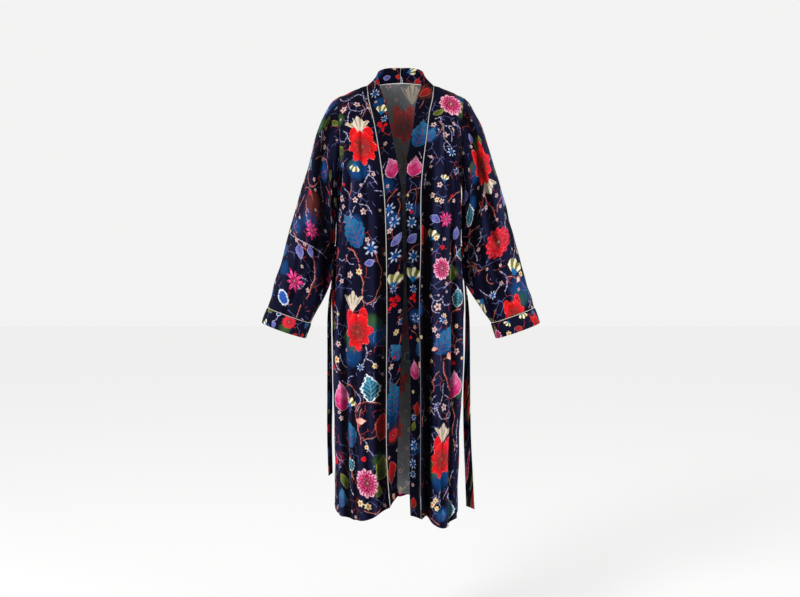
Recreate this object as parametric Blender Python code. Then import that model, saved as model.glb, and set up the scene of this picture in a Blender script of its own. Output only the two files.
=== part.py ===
# Velvet kimono robe, filled out as if worn, open down the front, with nobody inside.
# Metres, +Z up. The front faces -Y, and the wearer's left is +X.
# The origin is the middle of the neck opening, level with the inner ends of the shoulder seams.
#
# Each panel is a loft: every row across it is a Bezier curve, and its control points follow a
# smooth curve up the panel. Folds push the panel in or out along its own normal.

import math
from collections import namedtuple

import bpy
from mathutils import Vector

CLOTH = 0.0016
DOUBLE_CLOTH = 0.0024
SEAM_GAP = 0.0003
PIPING_RADIUS = 0.0015
PIPING_ROOM = PIPING_RADIUS + SEAM_GAP

RIGHT = -1  # the wearer's right, at -X
LEFT = 1  # the wearer's left, at +X
SIDE_NAME = {RIGHT: "right", LEFT: "left"}

CUFF_DEPTH = 0.043
CUFF_FLARE = 0.0015
BELT_WIDTH = 0.042
WAIST_Z = -0.47
LOOP_WIDTH = 0.010
LOOP_STRAP = 0.0015
# The loop's outer face: height from the waist, and how far it stands off the side seam.
LOOP_PROFILE = ((-0.034, 0.0020), (-0.029, 0.0034), (-0.0245, 0.0072), (0.0, 0.0078))

# Row: a section across a panel. Points are for the left side, and mirror for the right.
# rise is the place up the panel, from the hem at 0 to the shoulder seam at 1.
# start is where the row begins (the band seam, or the centre back), and lead is its handle.
# end is where it stops (the side seam), and tuck is its handle. Above the underarm the row
# stops on the armhole instead, at the angle armhole, in degrees down from the shoulder.
Row = namedtuple("Row", "rise start lead end tuck armhole", defaults=(None,))

FRONT_ROWS = (
    Row(0.000, (0.041, -0.126, -1.186), (0.050, -0.012, 0), (0.172, 0.000, -1.186), (0, -0.088, 0)),
    Row(0.160, (0.045, -0.132, -1.000), (0.055, -0.010, 0), (0.171, 0.000, -1.000), (0, -0.092, 0)),
    Row(0.330, (0.045, -0.137, -0.800), (0.062, -0.005, 0), (0.180, 0.000, -0.800), (0, -0.094, 0)),
    Row(0.480, (0.043, -0.138, -0.620), (0.068, 0.000, 0), (0.182, 0.000, -0.620), (0.004, -0.096, 0)),
    Row(0.620, (0.046, -0.135, -0.450), (0.066, 0.000, 0), (0.172, 0.002, -0.450), (0.010, -0.102, 0)),
    Row(0.730, (0.0487, -0.131, -0.320), (0.066, 0.000, 0), (0.170, 0.004, -0.320), (0.008, -0.106, 0)),
    Row(0.795, (0.056, -0.122, -0.240), (0.062, -0.006, 0), (0.168, 0.005, -0.256), (0.003, -0.102, 0)),
    Row(0.860, (0.0672, -0.100, -0.160), (0.044, -0.014, -0.004), None, (0.006, -0.050, 0), 126),
    Row(0.920, (0.0780, -0.067, -0.092), (0.036, -0.012, -0.008), None, (-0.016, -0.028, 0.006), 82),
    Row(0.962, (0.0888, -0.033, -0.042), (0.032, -0.006, -0.010), None, (-0.028, -0.014, 0.010), 38),
    Row(1.000, (0.0934, 0.000, 0.000), (0.030, 0.000, -0.008), None, (-0.028, 0.000, 0.014), 0),
)
BACK_ROWS = (
    Row(0.000, (0.000, 0.138, -1.170), (0.085, 0.000, 0), (0.172, 0.000, -1.186), (0, 0.086, 0)),
    Row(0.160, (0.000, 0.140, -1.000), (0.088, 0.000, 0), (0.171, 0.000, -1.000), (0, 0.088, 0)),
    Row(0.330, (0.000, 0.142, -0.800), (0.090, 0.000, 0), (0.180, 0.000, -0.800), (0, 0.090, 0)),
    Row(0.480, (0.000, 0.141, -0.620), (0.092, 0.000, 0), (0.182, 0.000, -0.620), (0.002, 0.088, 0)),
    Row(0.620, (0.000, 0.122, -0.450), (0.088, 0.000, 0), (0.172, 0.002, -0.450), (0.004, 0.080, 0)),
    Row(0.730, (0.000, 0.119, -0.320), (0.084, 0.000, 0), (0.170, 0.004, -0.320), (0.004, 0.080, 0)),
    Row(0.795, (0.000, 0.121, -0.240), (0.080, 0.000, 0), (0.168, 0.005, -0.256), (0.004, 0.078, 0)),
    Row(0.860, (0.000, 0.116, -0.160), (0.074, 0.002, 0), None, (0.006, 0.044, 0), 126),
    Row(0.920, (0.000, 0.102, -0.080), (0.068, 0.002, 0), None, (-0.016, 0.028, 0.006), 82),
    Row(0.962, (0.000, 0.089, -0.024), (0.064, 0.000, -0.003), None, (-0.028, 0.014, 0.010), 38),
    Row(1.000, (0.000, 0.075, 0.0226), (0.060, -0.006, -0.004), None, (-0.028, 0.000, 0.014), 0),
)
BACK_TOP_RISE = 0.90  # above here the back's rows bend to its neck and shoulder seams

# The seam round the back of the neck, on the left side: past is 1 at the shoulder seam, 2 at
# the centre back.
NECK_SEAM = (
    (1.00, 0.0934, 0.000, 0.0000),
    (1.33, 0.0810, 0.036, 0.0060),
    (1.66, 0.0480, 0.064, 0.0170),
    (2.00, 0.0000, 0.075, 0.0226),
    (2.34, -0.0480, 0.064, 0.0170),
)
CENTRE_BACK = 2.0
UNDERARM_RISE = 0.795

# The band's free edge, as an offset from its seam: towards the middle, back and up.
# Up to the bust the band turns inwards by an angle, which differs on the two sides.
BAND_WIDTH = 0.045
BAND_TURN = {
    RIGHT: ((0.0, 62), (0.16, 48), (0.33, 35), (0.48, 20), (0.62, 6), (0.73, 4)),
    LEFT: ((0.0, 50), (0.16, 52), (0.33, 54), (0.48, 44), (0.62, 32), (0.73, 26)),
}
BAND_EDGE = (
    (0.795, 0.0415, -0.005, 0.012),
    (0.860, 0.0365, -0.003, 0.023),
    (0.920, 0.0360, 0.007, 0.030),
    (0.962, 0.0330, 0.014, 0.033),
    (1.000, 0.0290, 0.010, 0.034),
    (1.330, 0.0200, 0.004, 0.046),
    (1.660, 0.0090, 0.003, 0.0485),
    (2.000, 0.0000, 0.004, 0.0464),
)
BAND_ROLL = 0.0022  # how far the middle of the band stands proud of a straight line across it

# Lower edges: share of the width from the band seam (or the centre back) to the side, height.
HEM = {
    RIGHT: ((0.0, -1.152), (0.14, -1.166), (0.32, -1.186), (0.65, -1.191), (1.0, -1.174)),
    LEFT: ((0.0, -1.184), (0.10, -1.180), (0.22, -1.198), (0.45, -1.212), (0.75, -1.196), (1.0, -1.176)),
}
BACK_HEM = {
    RIGHT: ((0.0, -1.170), (0.5, -1.174), (1.0, -1.174)),
    LEFT: ((0.0, -1.170), (0.5, -1.172), (1.0, -1.176)),
}
HEM_FADE = 0.20  # the rise by which the hem's own shape has faded out
BAND_FOOT_LIFT = {RIGHT: 0.020, LEFT: 0.0}  # how much higher the band's free corner hangs

# Whole-width shifts to +X: (height, shift of the front opening, shift of the sides).
SHIFTS = (
    (-1.20, 0.0150, -0.0115),
    (-1.12, 0.0100, -0.0120),
    (-1.00, 0.0080, -0.0120),
    (-0.80, 0.0080, -0.0090),
    (-0.62, 0.0070, -0.0065),
    (-0.45, 0.0080, -0.0060),
    (-0.34, 0.0060, -0.0035),
    (-0.25, 0.0040, 0.0000),
    (-0.16, 0.0030, 0.0000),
    (-0.08, 0.0000, 0.0000),
)

# Folds, from the foot (lower end) to the head: across is the share of the panel's width,
# rise is as in Row, width is half the fold's share of the panel, depth is out (+) or in (-).
Fold = namedtuple("Fold", "foot_across foot_rise foot_depth head_across head_rise head_depth width")
FRONT_FOLDS = {
    RIGHT: (
        Fold(0.10, -0.20, -0.010, 0.09, 0.80, -0.004, 0.12),
        Fold(0.36, -0.20, 0.010, 0.34, 0.62, 0.002, 0.20),
        Fold(0.62, -0.20, -0.010, 0.60, 0.60, -0.003, 0.12),
        Fold(0.84, 0.05, 0.007, 0.60, 0.90, 0.006, 0.12),
        Fold(0.93, 0.10, -0.006, 0.82, 0.80, -0.007, 0.09),
    ),
    LEFT: (
        Fold(0.115, -0.20, -0.025, 0.105, 0.88, -0.014, 0.115),
        Fold(0.30, -0.20, 0.010, 0.28, 0.70, 0.003, 0.16),
        Fold(0.66, -0.20, -0.012, 0.50, 0.78, -0.006, 0.12),
        Fold(0.86, 0.00, 0.007, 0.62, 0.92, 0.007, 0.11),
        Fold(0.95, 0.15, -0.005, 0.84, 0.80, -0.008, 0.09),
    ),
}
BACK_FOLDS = (
    # across runs from -1 at the right side seam, through the centre back, to 1
    Fold(-0.80, -0.20, 0.010, -0.70, 0.85, 0.004, 0.14),
    Fold(-0.52, -0.20, -0.014, -0.44, 0.70, -0.003, 0.13),
    Fold(-0.24, -0.20, 0.012, -0.20, 0.60, 0.002, 0.14),
    Fold(0.04, -0.20, -0.012, 0.02, 0.66, -0.002, 0.13),
    Fold(0.31, -0.20, 0.013, 0.24, 0.58, 0.002, 0.14),
    Fold(0.58, -0.20, -0.013, 0.48, 0.74, -0.004, 0.12),
    Fold(0.82, -0.20, 0.009, 0.72, 0.85, 0.004, 0.12),
)

# Sleeve rings: along is the place from the armhole to the cuff seam, outer and inner are where
# the ring meets the silhouette (x, z), depth is half its size front to back, ahead is how far
# its middle lies towards the front, and scoop draws its front and back towards the middle.
Ring = namedtuple("Ring", "along outer_x outer_z inner_x inner_z depth ahead scoop", defaults=(0,))
SLEEVE_RINGS = {
    RIGHT: (
        Ring(0.00, 0.1760, -0.0345, 0.1680, -0.256, 0.080, -0.005, 0.006),
        Ring(0.05, 0.1955, -0.0520, 0.1705, -0.272, 0.085, -0.005, 0.005),
        Ring(0.15, 0.2265, -0.114, 0.1735, -0.300, 0.089, -0.004, 0.002),
        Ring(0.28, 0.2495, -0.200, 0.1775, -0.340, 0.089, 0.000),
        Ring(0.43, 0.2768, -0.298, 0.1812, -0.394, 0.083, 0.006),
        Ring(0.58, 0.3028, -0.392, 0.1875, -0.460, 0.077, 0.012),
        Ring(0.74, 0.3258, -0.482, 0.1970, -0.536, 0.071, 0.018),
        Ring(0.88, 0.3465, -0.556, 0.2210, -0.601, 0.065, 0.024),
        Ring(1.00, 0.3655, -0.619, 0.2460, -0.662, 0.059, 0.028),
    ),
    LEFT: (
        Ring(0.00, 0.1760, -0.0345, 0.1680, -0.256, 0.080, -0.005, 0.006),
        Ring(0.05, 0.1915, -0.0500, 0.1700, -0.272, 0.085, -0.005, 0.005),
        Ring(0.10, 0.2075, -0.0780, 0.1708, -0.286, 0.087, -0.005, 0.004),
        Ring(0.16, 0.2255, -0.116, 0.1716, -0.303, 0.089, -0.004, 0.002),
        Ring(0.28, 0.2521, -0.200, 0.1712, -0.340, 0.089, 0.000),
        Ring(0.43, 0.2813, -0.298, 0.1722, -0.394, 0.083, 0.006),
        Ring(0.58, 0.3058, -0.392, 0.1755, -0.460, 0.077, 0.012),
        Ring(0.74, 0.3280, -0.482, 0.1800, -0.534, 0.071, 0.018),
        Ring(0.88, 0.3500, -0.556, 0.2110, -0.599, 0.065, 0.024),
        Ring(1.00, 0.3677, -0.619, 0.2490, -0.662, 0.059, 0.028),
    ),
}
SLEEVE_OFF = 0.0012  # how far the sleeve stands off the armhole
# Sleeve folds: degrees round from the outer edge by way of the front, and place along.
SleeveFold = namedtuple("SleeveFold", "foot_angle foot_along head_angle head_along width depth")
SLEEVE_FOLDS = {
    RIGHT: (
        SleeveFold(70, 0.86, 50, 0.10, 26, 0.006),
        SleeveFold(118, 0.95, 100, 0.18, 24, -0.007),
        SleeveFold(150, 0.70, 128, 0.20, 18, 0.005),
        SleeveFold(235, 0.90, 250, 0.15, 26, -0.006),
        SleeveFold(300, 0.80, 310, 0.12, 26, 0.005),
    ),
    LEFT: (
        SleeveFold(58, 0.80, 40, 0.06, 20, 0.007),
        SleeveFold(88, 0.92, 70, 0.10, 20, -0.007),
        SleeveFold(140, 0.85, 112, 0.16, 24, 0.006),
        SleeveFold(230, 0.88, 245, 0.15, 26, -0.006),
        SleeveFold(296, 0.85, 300, 0.12, 24, 0.005),
    ),
}

# Where the belt's middle line hangs below each loop: height, distance out from the middle,
# distance to the front, and the turn of its width away from front-to-back, in degrees.
BELT_HANG = {
    RIGHT: (
        (-0.555, 0.1895, 0.040, 0),
        (-0.600, 0.1950, 0.039, 4),
        (-0.650, 0.1975, 0.036, 8),
        (-0.740, 0.1975, 0.030, 10),
        (-0.860, 0.1970, 0.024, 14),
        (-0.980, 0.1980, 0.020, 12),
        (-1.085, 0.1955, 0.018, 10),
    ),
    LEFT: (
        (-0.555, 0.1790, 0.040, 0),
        (-0.600, 0.1835, 0.037, 5),
        (-0.650, 0.1860, 0.032, 10),
        (-0.740, 0.1865, 0.026, 14),
        (-0.860, 0.1850, 0.020, 22),
        (-0.980, 0.1870, 0.014, 24),
        (-1.090, 0.1920, 0.010, 26),
        (-1.180, 0.1960, 0.006, 28),
    ),
}
BELT_BACK_CLEARANCE = 0.009
BELT_SIDE_CLEARANCE = 0.0018
BELT_BEND = 0.036  # radius of the belt's turn from level to hanging, past the loop

FRONT_COLUMNS = (0, 0.03, 0.06, 0.09, 0.12, 0.16, 0.21, 0.27, 0.34, 0.42, 0.50, 0.59, 0.68, 0.77, 0.85, 0.93, 1)
HALF_BACK_COLUMNS = 13
NECK_COLUMNS = 7  # of a half back's columns, those that end on the neck seam
NECK_SHARE = NECK_COLUMNS / HALF_BACK_COLUMNS
PANEL_ROWS = 34
SLEEVE_COLUMNS = 24
SLEEVE_LENGTHS = 16

# A long piece is one node for each of these stretches of its rows, so that its collision
# follows the cloth closely: name, first row, last row.
STRETCH_GAP = 0.0006
BACK_STRETCHES = (("_hem", 0, 9), ("_skirt", 9, 18), ("_waist", 18, 26), ("_chest", 26, PANEL_ROWS))
FRONT_STRETCHES = (("_skirt", 0, 11), ("_waist", 11, 22), ("_chest", 22, PANEL_ROWS))
BAND_STRETCHES = (*FRONT_STRETCHES, ("_neck", PANEL_ROWS, PANEL_ROWS + NECK_COLUMNS + 1))
SLEEVE_STRETCHES = (("_upper", 0, 5), ("_elbow", 5, 11), ("_lower", 11, SLEEVE_LENGTHS))


def through(rows, at):
    """The values at a place on a smooth curve through rows of (place, value, value...)."""
    if at <= rows[0][0]:
        return rows[0][1:]
    if at >= rows[-1][0]:
        return rows[-1][1:]
    k = max(i for i, row in enumerate(rows[:-1]) if row[0] <= at)

    def slope(i, column):
        before, after = rows[max(i - 1, 0)], rows[min(i + 1, len(rows) - 1)]
        return (after[column] - before[column]) / (after[0] - before[0])

    span = rows[k + 1][0] - rows[k][0]
    t = (at - rows[k][0]) / span
    values = []
    for column in range(1, len(rows[0])):
        start, end = rows[k][column], rows[k + 1][column]
        rise, fall = slope(k, column) * span, slope(k + 1, column) * span
        values.append(
            (2 * t**3 - 3 * t**2 + 1) * start
            + (t**3 - 2 * t**2 + t) * rise
            + (3 * t**2 - 2 * t**3) * end
            + (t**3 - t**2) * fall
        )
    return tuple(values)


def ease(t):
    t = min(max(t, 0.0), 1.0)
    return t * t * (3 - 2 * t)


def hump(distance, width):
    """A round hump, 1 in its middle and 0 from its width outwards."""
    share = abs(distance) / width
    return 0.5 + 0.5 * math.cos(math.pi * share) if share < 1 else 0.0


def mirrored(point, side):
    return Vector((side * point[0], point[1], point[2]))


def shift(z, column):
    return Vector((through(SHIFTS, z)[column], 0, 0))


def ring_point(side, ring, angle):
    """A point of a sleeve ring: angle 0 is its outer edge, and 90 degrees its front."""
    along, outer_x, outer_z, inner_x, inner_z, depth, ahead, scoop = ring
    turn = math.radians(angle)
    middle = Vector(((outer_x + inner_x) / 2 - scoop * math.sin(turn) ** 2, -ahead, (outer_z + inner_z) / 2))
    reach = Vector(((outer_x - inner_x) / 2, 0, (outer_z - inner_z) / 2))
    return mirrored(middle + reach * math.cos(turn) - Vector((0, depth * math.sin(turn), 0)), side)


def armhole_point(side, angle, front):
    return ring_point(side, SLEEVE_RINGS[side][0], angle if front else 360 - angle)


def armhole_angle(rows, rise):
    above = [(row.rise, row.armhole) for row in rows if row.armhole is not None]
    return through([(rows[6].rise, 180), *above], rise)


def handles(rows, side, rise, front):
    """The four Bezier points of a panel's row at this rise."""
    start = Vector(through([(row.rise, *row.start) for row in rows], rise))
    lead = Vector(through([(row.rise, *row.lead) for row in rows], rise))
    tuck = Vector(through([(row.rise, *row.tuck) for row in rows], rise))
    below = [row for row in rows if row.end]
    if rise <= below[-1].rise:
        end = mirrored(through([(row.rise, *row.end) for row in below], rise), side)
        end += shift(end.z, 1)
    else:
        (angle,) = armhole_angle(rows, rise)
        end = armhole_point(side, angle, front)
    start, lead, tuck = (mirrored(v, side) for v in (start, lead, tuck))
    start += shift(start.z, 0 if front else 1)
    return start, start + lead, end + tuck, end


def bezier(points, t):
    a, b, c, d = points
    s = 1 - t
    return a * s**3 + b * 3 * s * s * t + c * 3 * s * t * t + d * t**3


def hem_shaped(point, hem, across, rise, level):
    """Moves a point near the hem so that the panel's lower edge has its own shape."""
    if rise < HEM_FADE:
        (height,) = through(hem, across)
        point = point + Vector((0, 0, (height - level) * (1 - ease(rise / HEM_FADE))))
    return point


def back_top(side, across):
    """The back's top edge: the neck seam, then the shoulder seam."""
    if across < NECK_SHARE:
        return mirrored(through(NECK_SEAM, CENTRE_BACK - across / NECK_SHARE), side)
    shoulder = handles(FRONT_ROWS, side, 1.0, True)
    return bezier(shoulder, (across - NECK_SHARE) / (1 - NECK_SHARE))


def plain_front(side, across, rise):
    point = bezier(handles(FRONT_ROWS, side, rise, True), across)
    return hem_shaped(point, HEM[side], across, rise, FRONT_ROWS[0].start[2])


def plain_back(across, rise):
    """across runs from -1 at the right side seam to 1 at the left one."""
    side = LEFT if across >= 0 else RIGHT
    across = abs(across)
    points = handles(BACK_ROWS, side, rise, False)
    point = bezier(points, across)
    if rise > BACK_TOP_RISE:
        share = ease((rise - BACK_TOP_RISE) / (1 - BACK_TOP_RISE))
        point = point.lerp(back_top(side, across), share)
    return hem_shaped(point, BACK_HEM[side], across, rise, bezier(points, across).z)


def fold_depth(folds, across, rise):
    total = 0.0
    for fold in folds:
        share = (rise - fold.foot_rise) / (fold.head_rise - fold.foot_rise)
        if not 0 < share < 1:
            continue
        middle = fold.foot_across + (fold.head_across - fold.foot_across) * share
        depth = fold.foot_depth + (fold.head_depth - fold.foot_depth) * share
        total += depth * hump(across - middle, fold.width) * ease(6 * share) * ease(4 * (1 - share))
    return total


def pushed(surface, across, rise, depth, outward):
    """The surface's point, moved along its normal by depth, on the side that outward names."""
    step = 0.004
    low, high = max(rise - step, 0.0), min(rise + step, 1.0)
    along = surface(across, high) - surface(across, low)
    over = surface(across + step, rise) - surface(across - step, rise)
    normal = over.cross(along).normalized()
    if normal.dot(outward) < 0:
        normal.negate()
    return surface(across, rise) + normal * depth


def front_point(side, across, rise):
    def surface(a, r):
        return plain_front(side, min(max(a, 0.0), 1.0), r)

    depth = fold_depth(FRONT_FOLDS[side], across, rise) * ease(across / 0.04) * ease((1 - across) / 0.05)
    return pushed(surface, across, rise, depth, Vector((side * across, across - 1, 0.2)))


def back_point(across, rise):
    def surface(a, r):
        return plain_back(min(max(a, -1.0), 1.0), r)

    depth = fold_depth(BACK_FOLDS, across, rise) * ease((1 - abs(across)) / 0.05)
    return pushed(surface, across, rise, depth, Vector((across, 1 - abs(across), 0.2)))


def seam_point(side, past):
    """The band seam, from the hem at 0, by the shoulder seam at 1, to the centre back at 2."""
    if past <= 1:
        return front_point(side, 0.0, past)
    return mirrored(through(NECK_SEAM, past), side)


def band_edge_offset(side, past):
    """From the band's seam to its free edge."""
    turns = BAND_TURN[side]
    rows = []
    for rise, degrees in turns:
        turn = math.radians(degrees)
        rows.append((rise, BAND_WIDTH * math.cos(turn), BAND_WIDTH * math.sin(turn), 0.002))
    middle, back, up = through([*rows, *BAND_EDGE], past)
    up += BAND_FOOT_LIFT[side] * (1 - ease(past / HEM_FADE))
    return Vector((-side * middle, back, up))


def band_point(side, past, across):
    """across is 0 on the seam and 1 on the free edge."""
    offset = band_edge_offset(side, past)
    step = 0.01
    along = seam_point(side, min(past + step, CENTRE_BACK + 0.3)) - seam_point(side, max(past - step, 0.0))
    outward = offset.cross(along).normalized() * side
    return seam_point(side, past) + offset * across + outward * BAND_ROLL * math.sin(math.pi * across)


def sleeve_point(side, along, angle):
    ring = (along, *through(SLEEVE_RINGS[side], along))
    middle = (ring_point(side, ring, 0) + ring_point(side, ring, 180)) / 2
    point = ring_point(side, ring, angle)
    depth = 0.0
    for fold in SLEEVE_FOLDS[side]:
        share = (along - fold.head_along) / (fold.foot_along - fold.head_along)
        if 0 < share < 1:
            centre = fold.head_angle + (fold.foot_angle - fold.head_angle) * share
            depth += fold.depth * hump(angle - centre, fold.width) * ease(4 * share) * ease(4 * (1 - share))
    return point + (point - middle).normalized() * depth + Vector((side * SLEEVE_OFF, 0, 0))


def mitre(along, one, other):
    """Where the inner edges of two sheets go that meet on a ridge, so that they stay apart.
    along follows the seam, one and other run from it into the two sheets. The length is for a
    cloth 1 thick, and it is None where the sheets don't meet on a ridge."""
    along, one, other = along.normalized(), one.normalized(), other.normalized()
    if along.length * one.length * other.length == 0:
        return None
    middle = (along.cross(one).normalized() + other.cross(along).normalized()) / 2
    length = max(middle.length_squared, 0.32)
    out = middle / length
    into = one + other
    return out if abs(out.dot(into)) > 0.05 and middle.length > 0.2 else None


def material(name, colour, roughness):
    made = bpy.data.materials.new(name)
    made.use_nodes = True
    shader = made.node_tree.nodes["Principled BSDF"]
    shader.inputs["Base Color"].default_value = (*colour, 1)
    shader.inputs["Roughness"].default_value = roughness
    shader.inputs["Metallic"].default_value = 0.0
    return made


def new_object(name, points, faces, finish, collection):
    mesh = bpy.data.meshes.new(name)
    mesh.from_pydata([tuple(p) for p in points], [], faces)
    mesh.materials.append(finish)
    mesh.shade_smooth()
    made = bpy.data.objects.new(name, mesh)
    collection.objects.link(made)
    return made


def grid(rows, closed=False):
    """The points and quads of a sheet made from rows of points, closed into a tube if asked."""
    wide = len(rows[0])
    points = [point for row in rows for point in row]
    faces = []
    for j in range(len(rows) - 1):
        for i in range(wide if closed else wide - 1):
            k = (i + 1) % wide
            faces.append((j * wide + i, j * wide + k, (j + 1) * wide + k, (j + 1) * wide + i))
    return points, faces


def sheet_normals(rows, outward, closed):
    wide, tall = len(rows[0]), len(rows)

    def at(j, i):
        return rows[min(max(j, 0), tall - 1)][i % wide if closed else min(max(i, 0), wide - 1)]

    normals = []
    for j in range(tall):
        row = []
        for i in range(wide):
            over, along = at(j, i + 1) - at(j, i - 1), at(j + 1, i) - at(j - 1, i)
            row.append(over.cross(along).normalized())
        normals.append(row)
    if normals[0][0].dot(outward) < 0:
        normals = [[-normal for normal in row] for row in normals]
    return normals


def drawn_in(rows, column, room):
    """Moves a column of points at an edge inwards, so that it ends this far from its seam."""
    beside = 1 if column == 0 else len(rows[0]) - 2
    moved = []
    for j, row in enumerate(rows):
        over = row[beside] - row[column]
        along = rows[min(j + 1, len(rows) - 1)][column] - rows[max(j - 1, 0)][column]
        lean = over.normalized().cross(along.normalized()).length
        moved.append(row[column] + over.normalized() * room / max(lean, 0.5))
    for row, point in zip(rows, moved):
        row[column] = point


def drawn_down(rows, rooms):
    """The same for the last row, with a room for each of its points."""
    moved = []
    last, before = rows[-1], rows[-2]
    for i, point in enumerate(last):
        over = before[i] - point
        along = last[min(i + 1, len(last) - 1)] - last[max(i - 1, 0)]
        lean = over.normalized().cross(along.normalized()).length
        moved.append(point + over.normalized() * rooms[i] / max(lean, 0.5))
    rows[-1] = moved


def shell(name, outer, inner, outward, finish, collection, closed):
    """A closed solid between an outer and an inner sheet of points."""
    wide, tall = len(outer[0]), len(outer)
    points, faces = grid(outer, closed)
    count = len(points)
    sides = [tuple(count + i for i in reversed(face)) for face in faces]
    rim = []
    for i in range(wide if closed else wide - 1):
        k = (i + 1) % wide
        rim.append((k, i, count + i, count + k))
        top = (tall - 1) * wide
        rim.append((top + i, top + k, count + top + k, count + top + i))
    if not closed:
        for j in range(tall - 1):
            low, high = j * wide, (j + 1) * wide
            rim.append((low, high, count + high, count + low))
            rim.append((high + wide - 1, low + wide - 1, count + low + wide - 1, count + high + wide - 1))
    faces = faces + sides + rim
    a, b, c = (points[i] for i in faces[0][:3])
    if (b - a).cross(c - a).dot(outward) < 0:
        faces = [tuple(reversed(face)) for face in faces]
    return new_object(name, points + [p for row in inner for p in row], faces, finish, collection)


def cloth(name, rows, outward, thickness, finish, collection, closed=False, mitres=(), stretches=None):
    """A sheet with a real thickness, laid inwards from its outer face, as one node or as one for
    each stretch of its rows. Each mitre is a row, a column and the direction that takes the place
    of the normal there."""
    normals = sheet_normals(rows, outward, closed)
    for j, i, direction in mitres:
        if direction and direction.dot(outward_at := normals[j][i]) != 0:
            normals[j][i] = direction if direction.dot(outward_at) > 0 else -direction
    for label, first, last in stretches or (("", 0, len(rows) - 1),):
        outer = [list(row) for row in rows[first : last + 1]]
        if last < len(rows) - 1:
            drawn_down(outer, [STRETCH_GAP] * len(outer[0]))
        inner = [
            [point - normal * thickness for point, normal in zip(*pair)]
            for pair in zip(outer, normals[first : last + 1])
        ]
        side = (outer[0][1] - outer[0][0]).cross(outer[1][0] - outer[0][0])
        facing = side if side.dot(normals[first][0]) > 0 else -side
        shell(name + label, outer, inner, facing, finish, collection, closed)


def shares(count):
    return [i / count for i in range(count + 1)]


def into_band(side, past):
    return band_point(side, past, 0.3) - seam_point(side, past)


def seam_run(side, past):
    return seam_point(side, min(past + 0.01, CENTRE_BACK + 0.3)) - seam_point(side, max(past - 0.01, 0.0))


def side_mitre(side, rise):
    end = front_point(side, 1.0, rise)
    along = front_point(side, 1.0, min(rise + 0.02, 1.0)) - front_point(side, 1.0, max(rise - 0.02, 0.0))
    return mitre(along, front_point(side, 0.96, rise) - end, back_point(side * 0.96, rise) - end)


def shoulder_mitre(side, across):
    """across is the place along the shoulder seam, from the neck at 0 to the sleeve at 1."""
    end = front_point(side, across, 1.0)
    along = front_point(side, min(across + 0.02, 1.0), 1.0) - front_point(side, max(across - 0.02, 0.0), 1.0)
    back = NECK_SHARE + (1 - NECK_SHARE) * across
    return mitre(along, front_point(side, across, 0.97) - end, back_point(side * back, 0.97) - end)


def armhole_mitre(side, angle, into_body):
    at = ring_point(side, SLEEVE_RINGS[side][0], angle)
    along = ring_point(side, SLEEVE_RINGS[side][0], angle + 2) - ring_point(side, SLEEVE_RINGS[side][0], angle - 2)
    return mitre(along, into_body, sleeve_point(side, 0.03, angle) - sleeve_point(side, 0.0, angle))


def make_front(side, finish, collection):
    rises = shares(PANEL_ROWS)
    rows = [[front_point(side, across, rise) for across in FRONT_COLUMNS] for rise in rises]
    last = len(FRONT_COLUMNS) - 1
    mitres = []
    for j, rise in enumerate(rises):
        into = front_point(side, 0.04, rise) - seam_point(side, rise)
        mitres.append((j, 0, mitre(seam_run(side, rise), into, into_band(side, rise))))
        if rise <= UNDERARM_RISE:
            mitres.append((j, last, side_mitre(side, rise)))
        else:
            (angle,) = armhole_angle(FRONT_ROWS, rise)
            mitres.append((j, last, armhole_mitre(side, angle, rows[j][last - 1] - rows[j][last])))
    for i, across in enumerate(FRONT_COLUMNS[1:], 1):
        mitres.append((PANEL_ROWS, i, shoulder_mitre(side, across)))
    drawn_in(rows, 0, PIPING_ROOM)
    drawn_in(rows, last, SEAM_GAP)
    drawn_down(rows, [SEAM_GAP] * len(FRONT_COLUMNS))
    name = f"front_{SIDE_NAME[side]}"
    cloth(
        name, rows, Vector((0, -1, 0)), CLOTH, finish, collection, mitres=mitres, stretches=FRONT_STRETCHES
    )


def make_back(finish, collection):
    rises = shares(PANEL_ROWS)
    last = 2 * HALF_BACK_COLUMNS
    acrosses = [2 * share - 1 for share in shares(last)]
    rows = [[back_point(across, rise) for across in acrosses] for rise in rises]
    mitres = []
    for j, rise in enumerate(rises):
        for i, side in ((0, RIGHT), (last, LEFT)):
            if rise <= UNDERARM_RISE:
                mitres.append((j, i, side_mitre(side, rise)))
            else:
                (angle,) = armhole_angle(BACK_ROWS, rise)
                beside = rows[j][1 if i == 0 else i - 1]
                mitres.append((j, i, armhole_mitre(side, 360 - angle, beside - rows[j][i])))
    rooms = []
    for i, across in enumerate(acrosses):
        side = LEFT if across >= 0 else RIGHT
        if abs(across) < NECK_SHARE + 0.01:
            past = CENTRE_BACK - abs(across) / NECK_SHARE
            into = rows[-2][i] - rows[-1][i]
            mitres.append((PANEL_ROWS, i, mitre(seam_run(side, past), into, into_band(side, past))))
            rooms.append(PIPING_ROOM + 0.0005)
        else:
            mitres.append((PANEL_ROWS, i, shoulder_mitre(side, (abs(across) - NECK_SHARE) / (1 - NECK_SHARE))))
            rooms.append(SEAM_GAP)
    drawn_in(rows, 0, SEAM_GAP)
    drawn_in(rows, last, SEAM_GAP)
    drawn_down(rows, rooms)
    cloth(
        "back", rows, Vector((0, 1, 0)), CLOTH, finish, collection, mitres=mitres, stretches=BACK_STRETCHES
    )


def make_sleeve(side, finish, collection):
    angles = [360 * share for share in shares(SLEEVE_COLUMNS)[:-1]]
    rows = [[sleeve_point(side, along, angle) for angle in angles] for along in shares(SLEEVE_LENGTHS)]
    name, out = f"sleeve_{SIDE_NAME[side]}", Vector((side, 0, 1))
    cloth(name, rows, out, CLOTH, finish, collection, closed=True, stretches=SLEEVE_STRETCHES)


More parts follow.
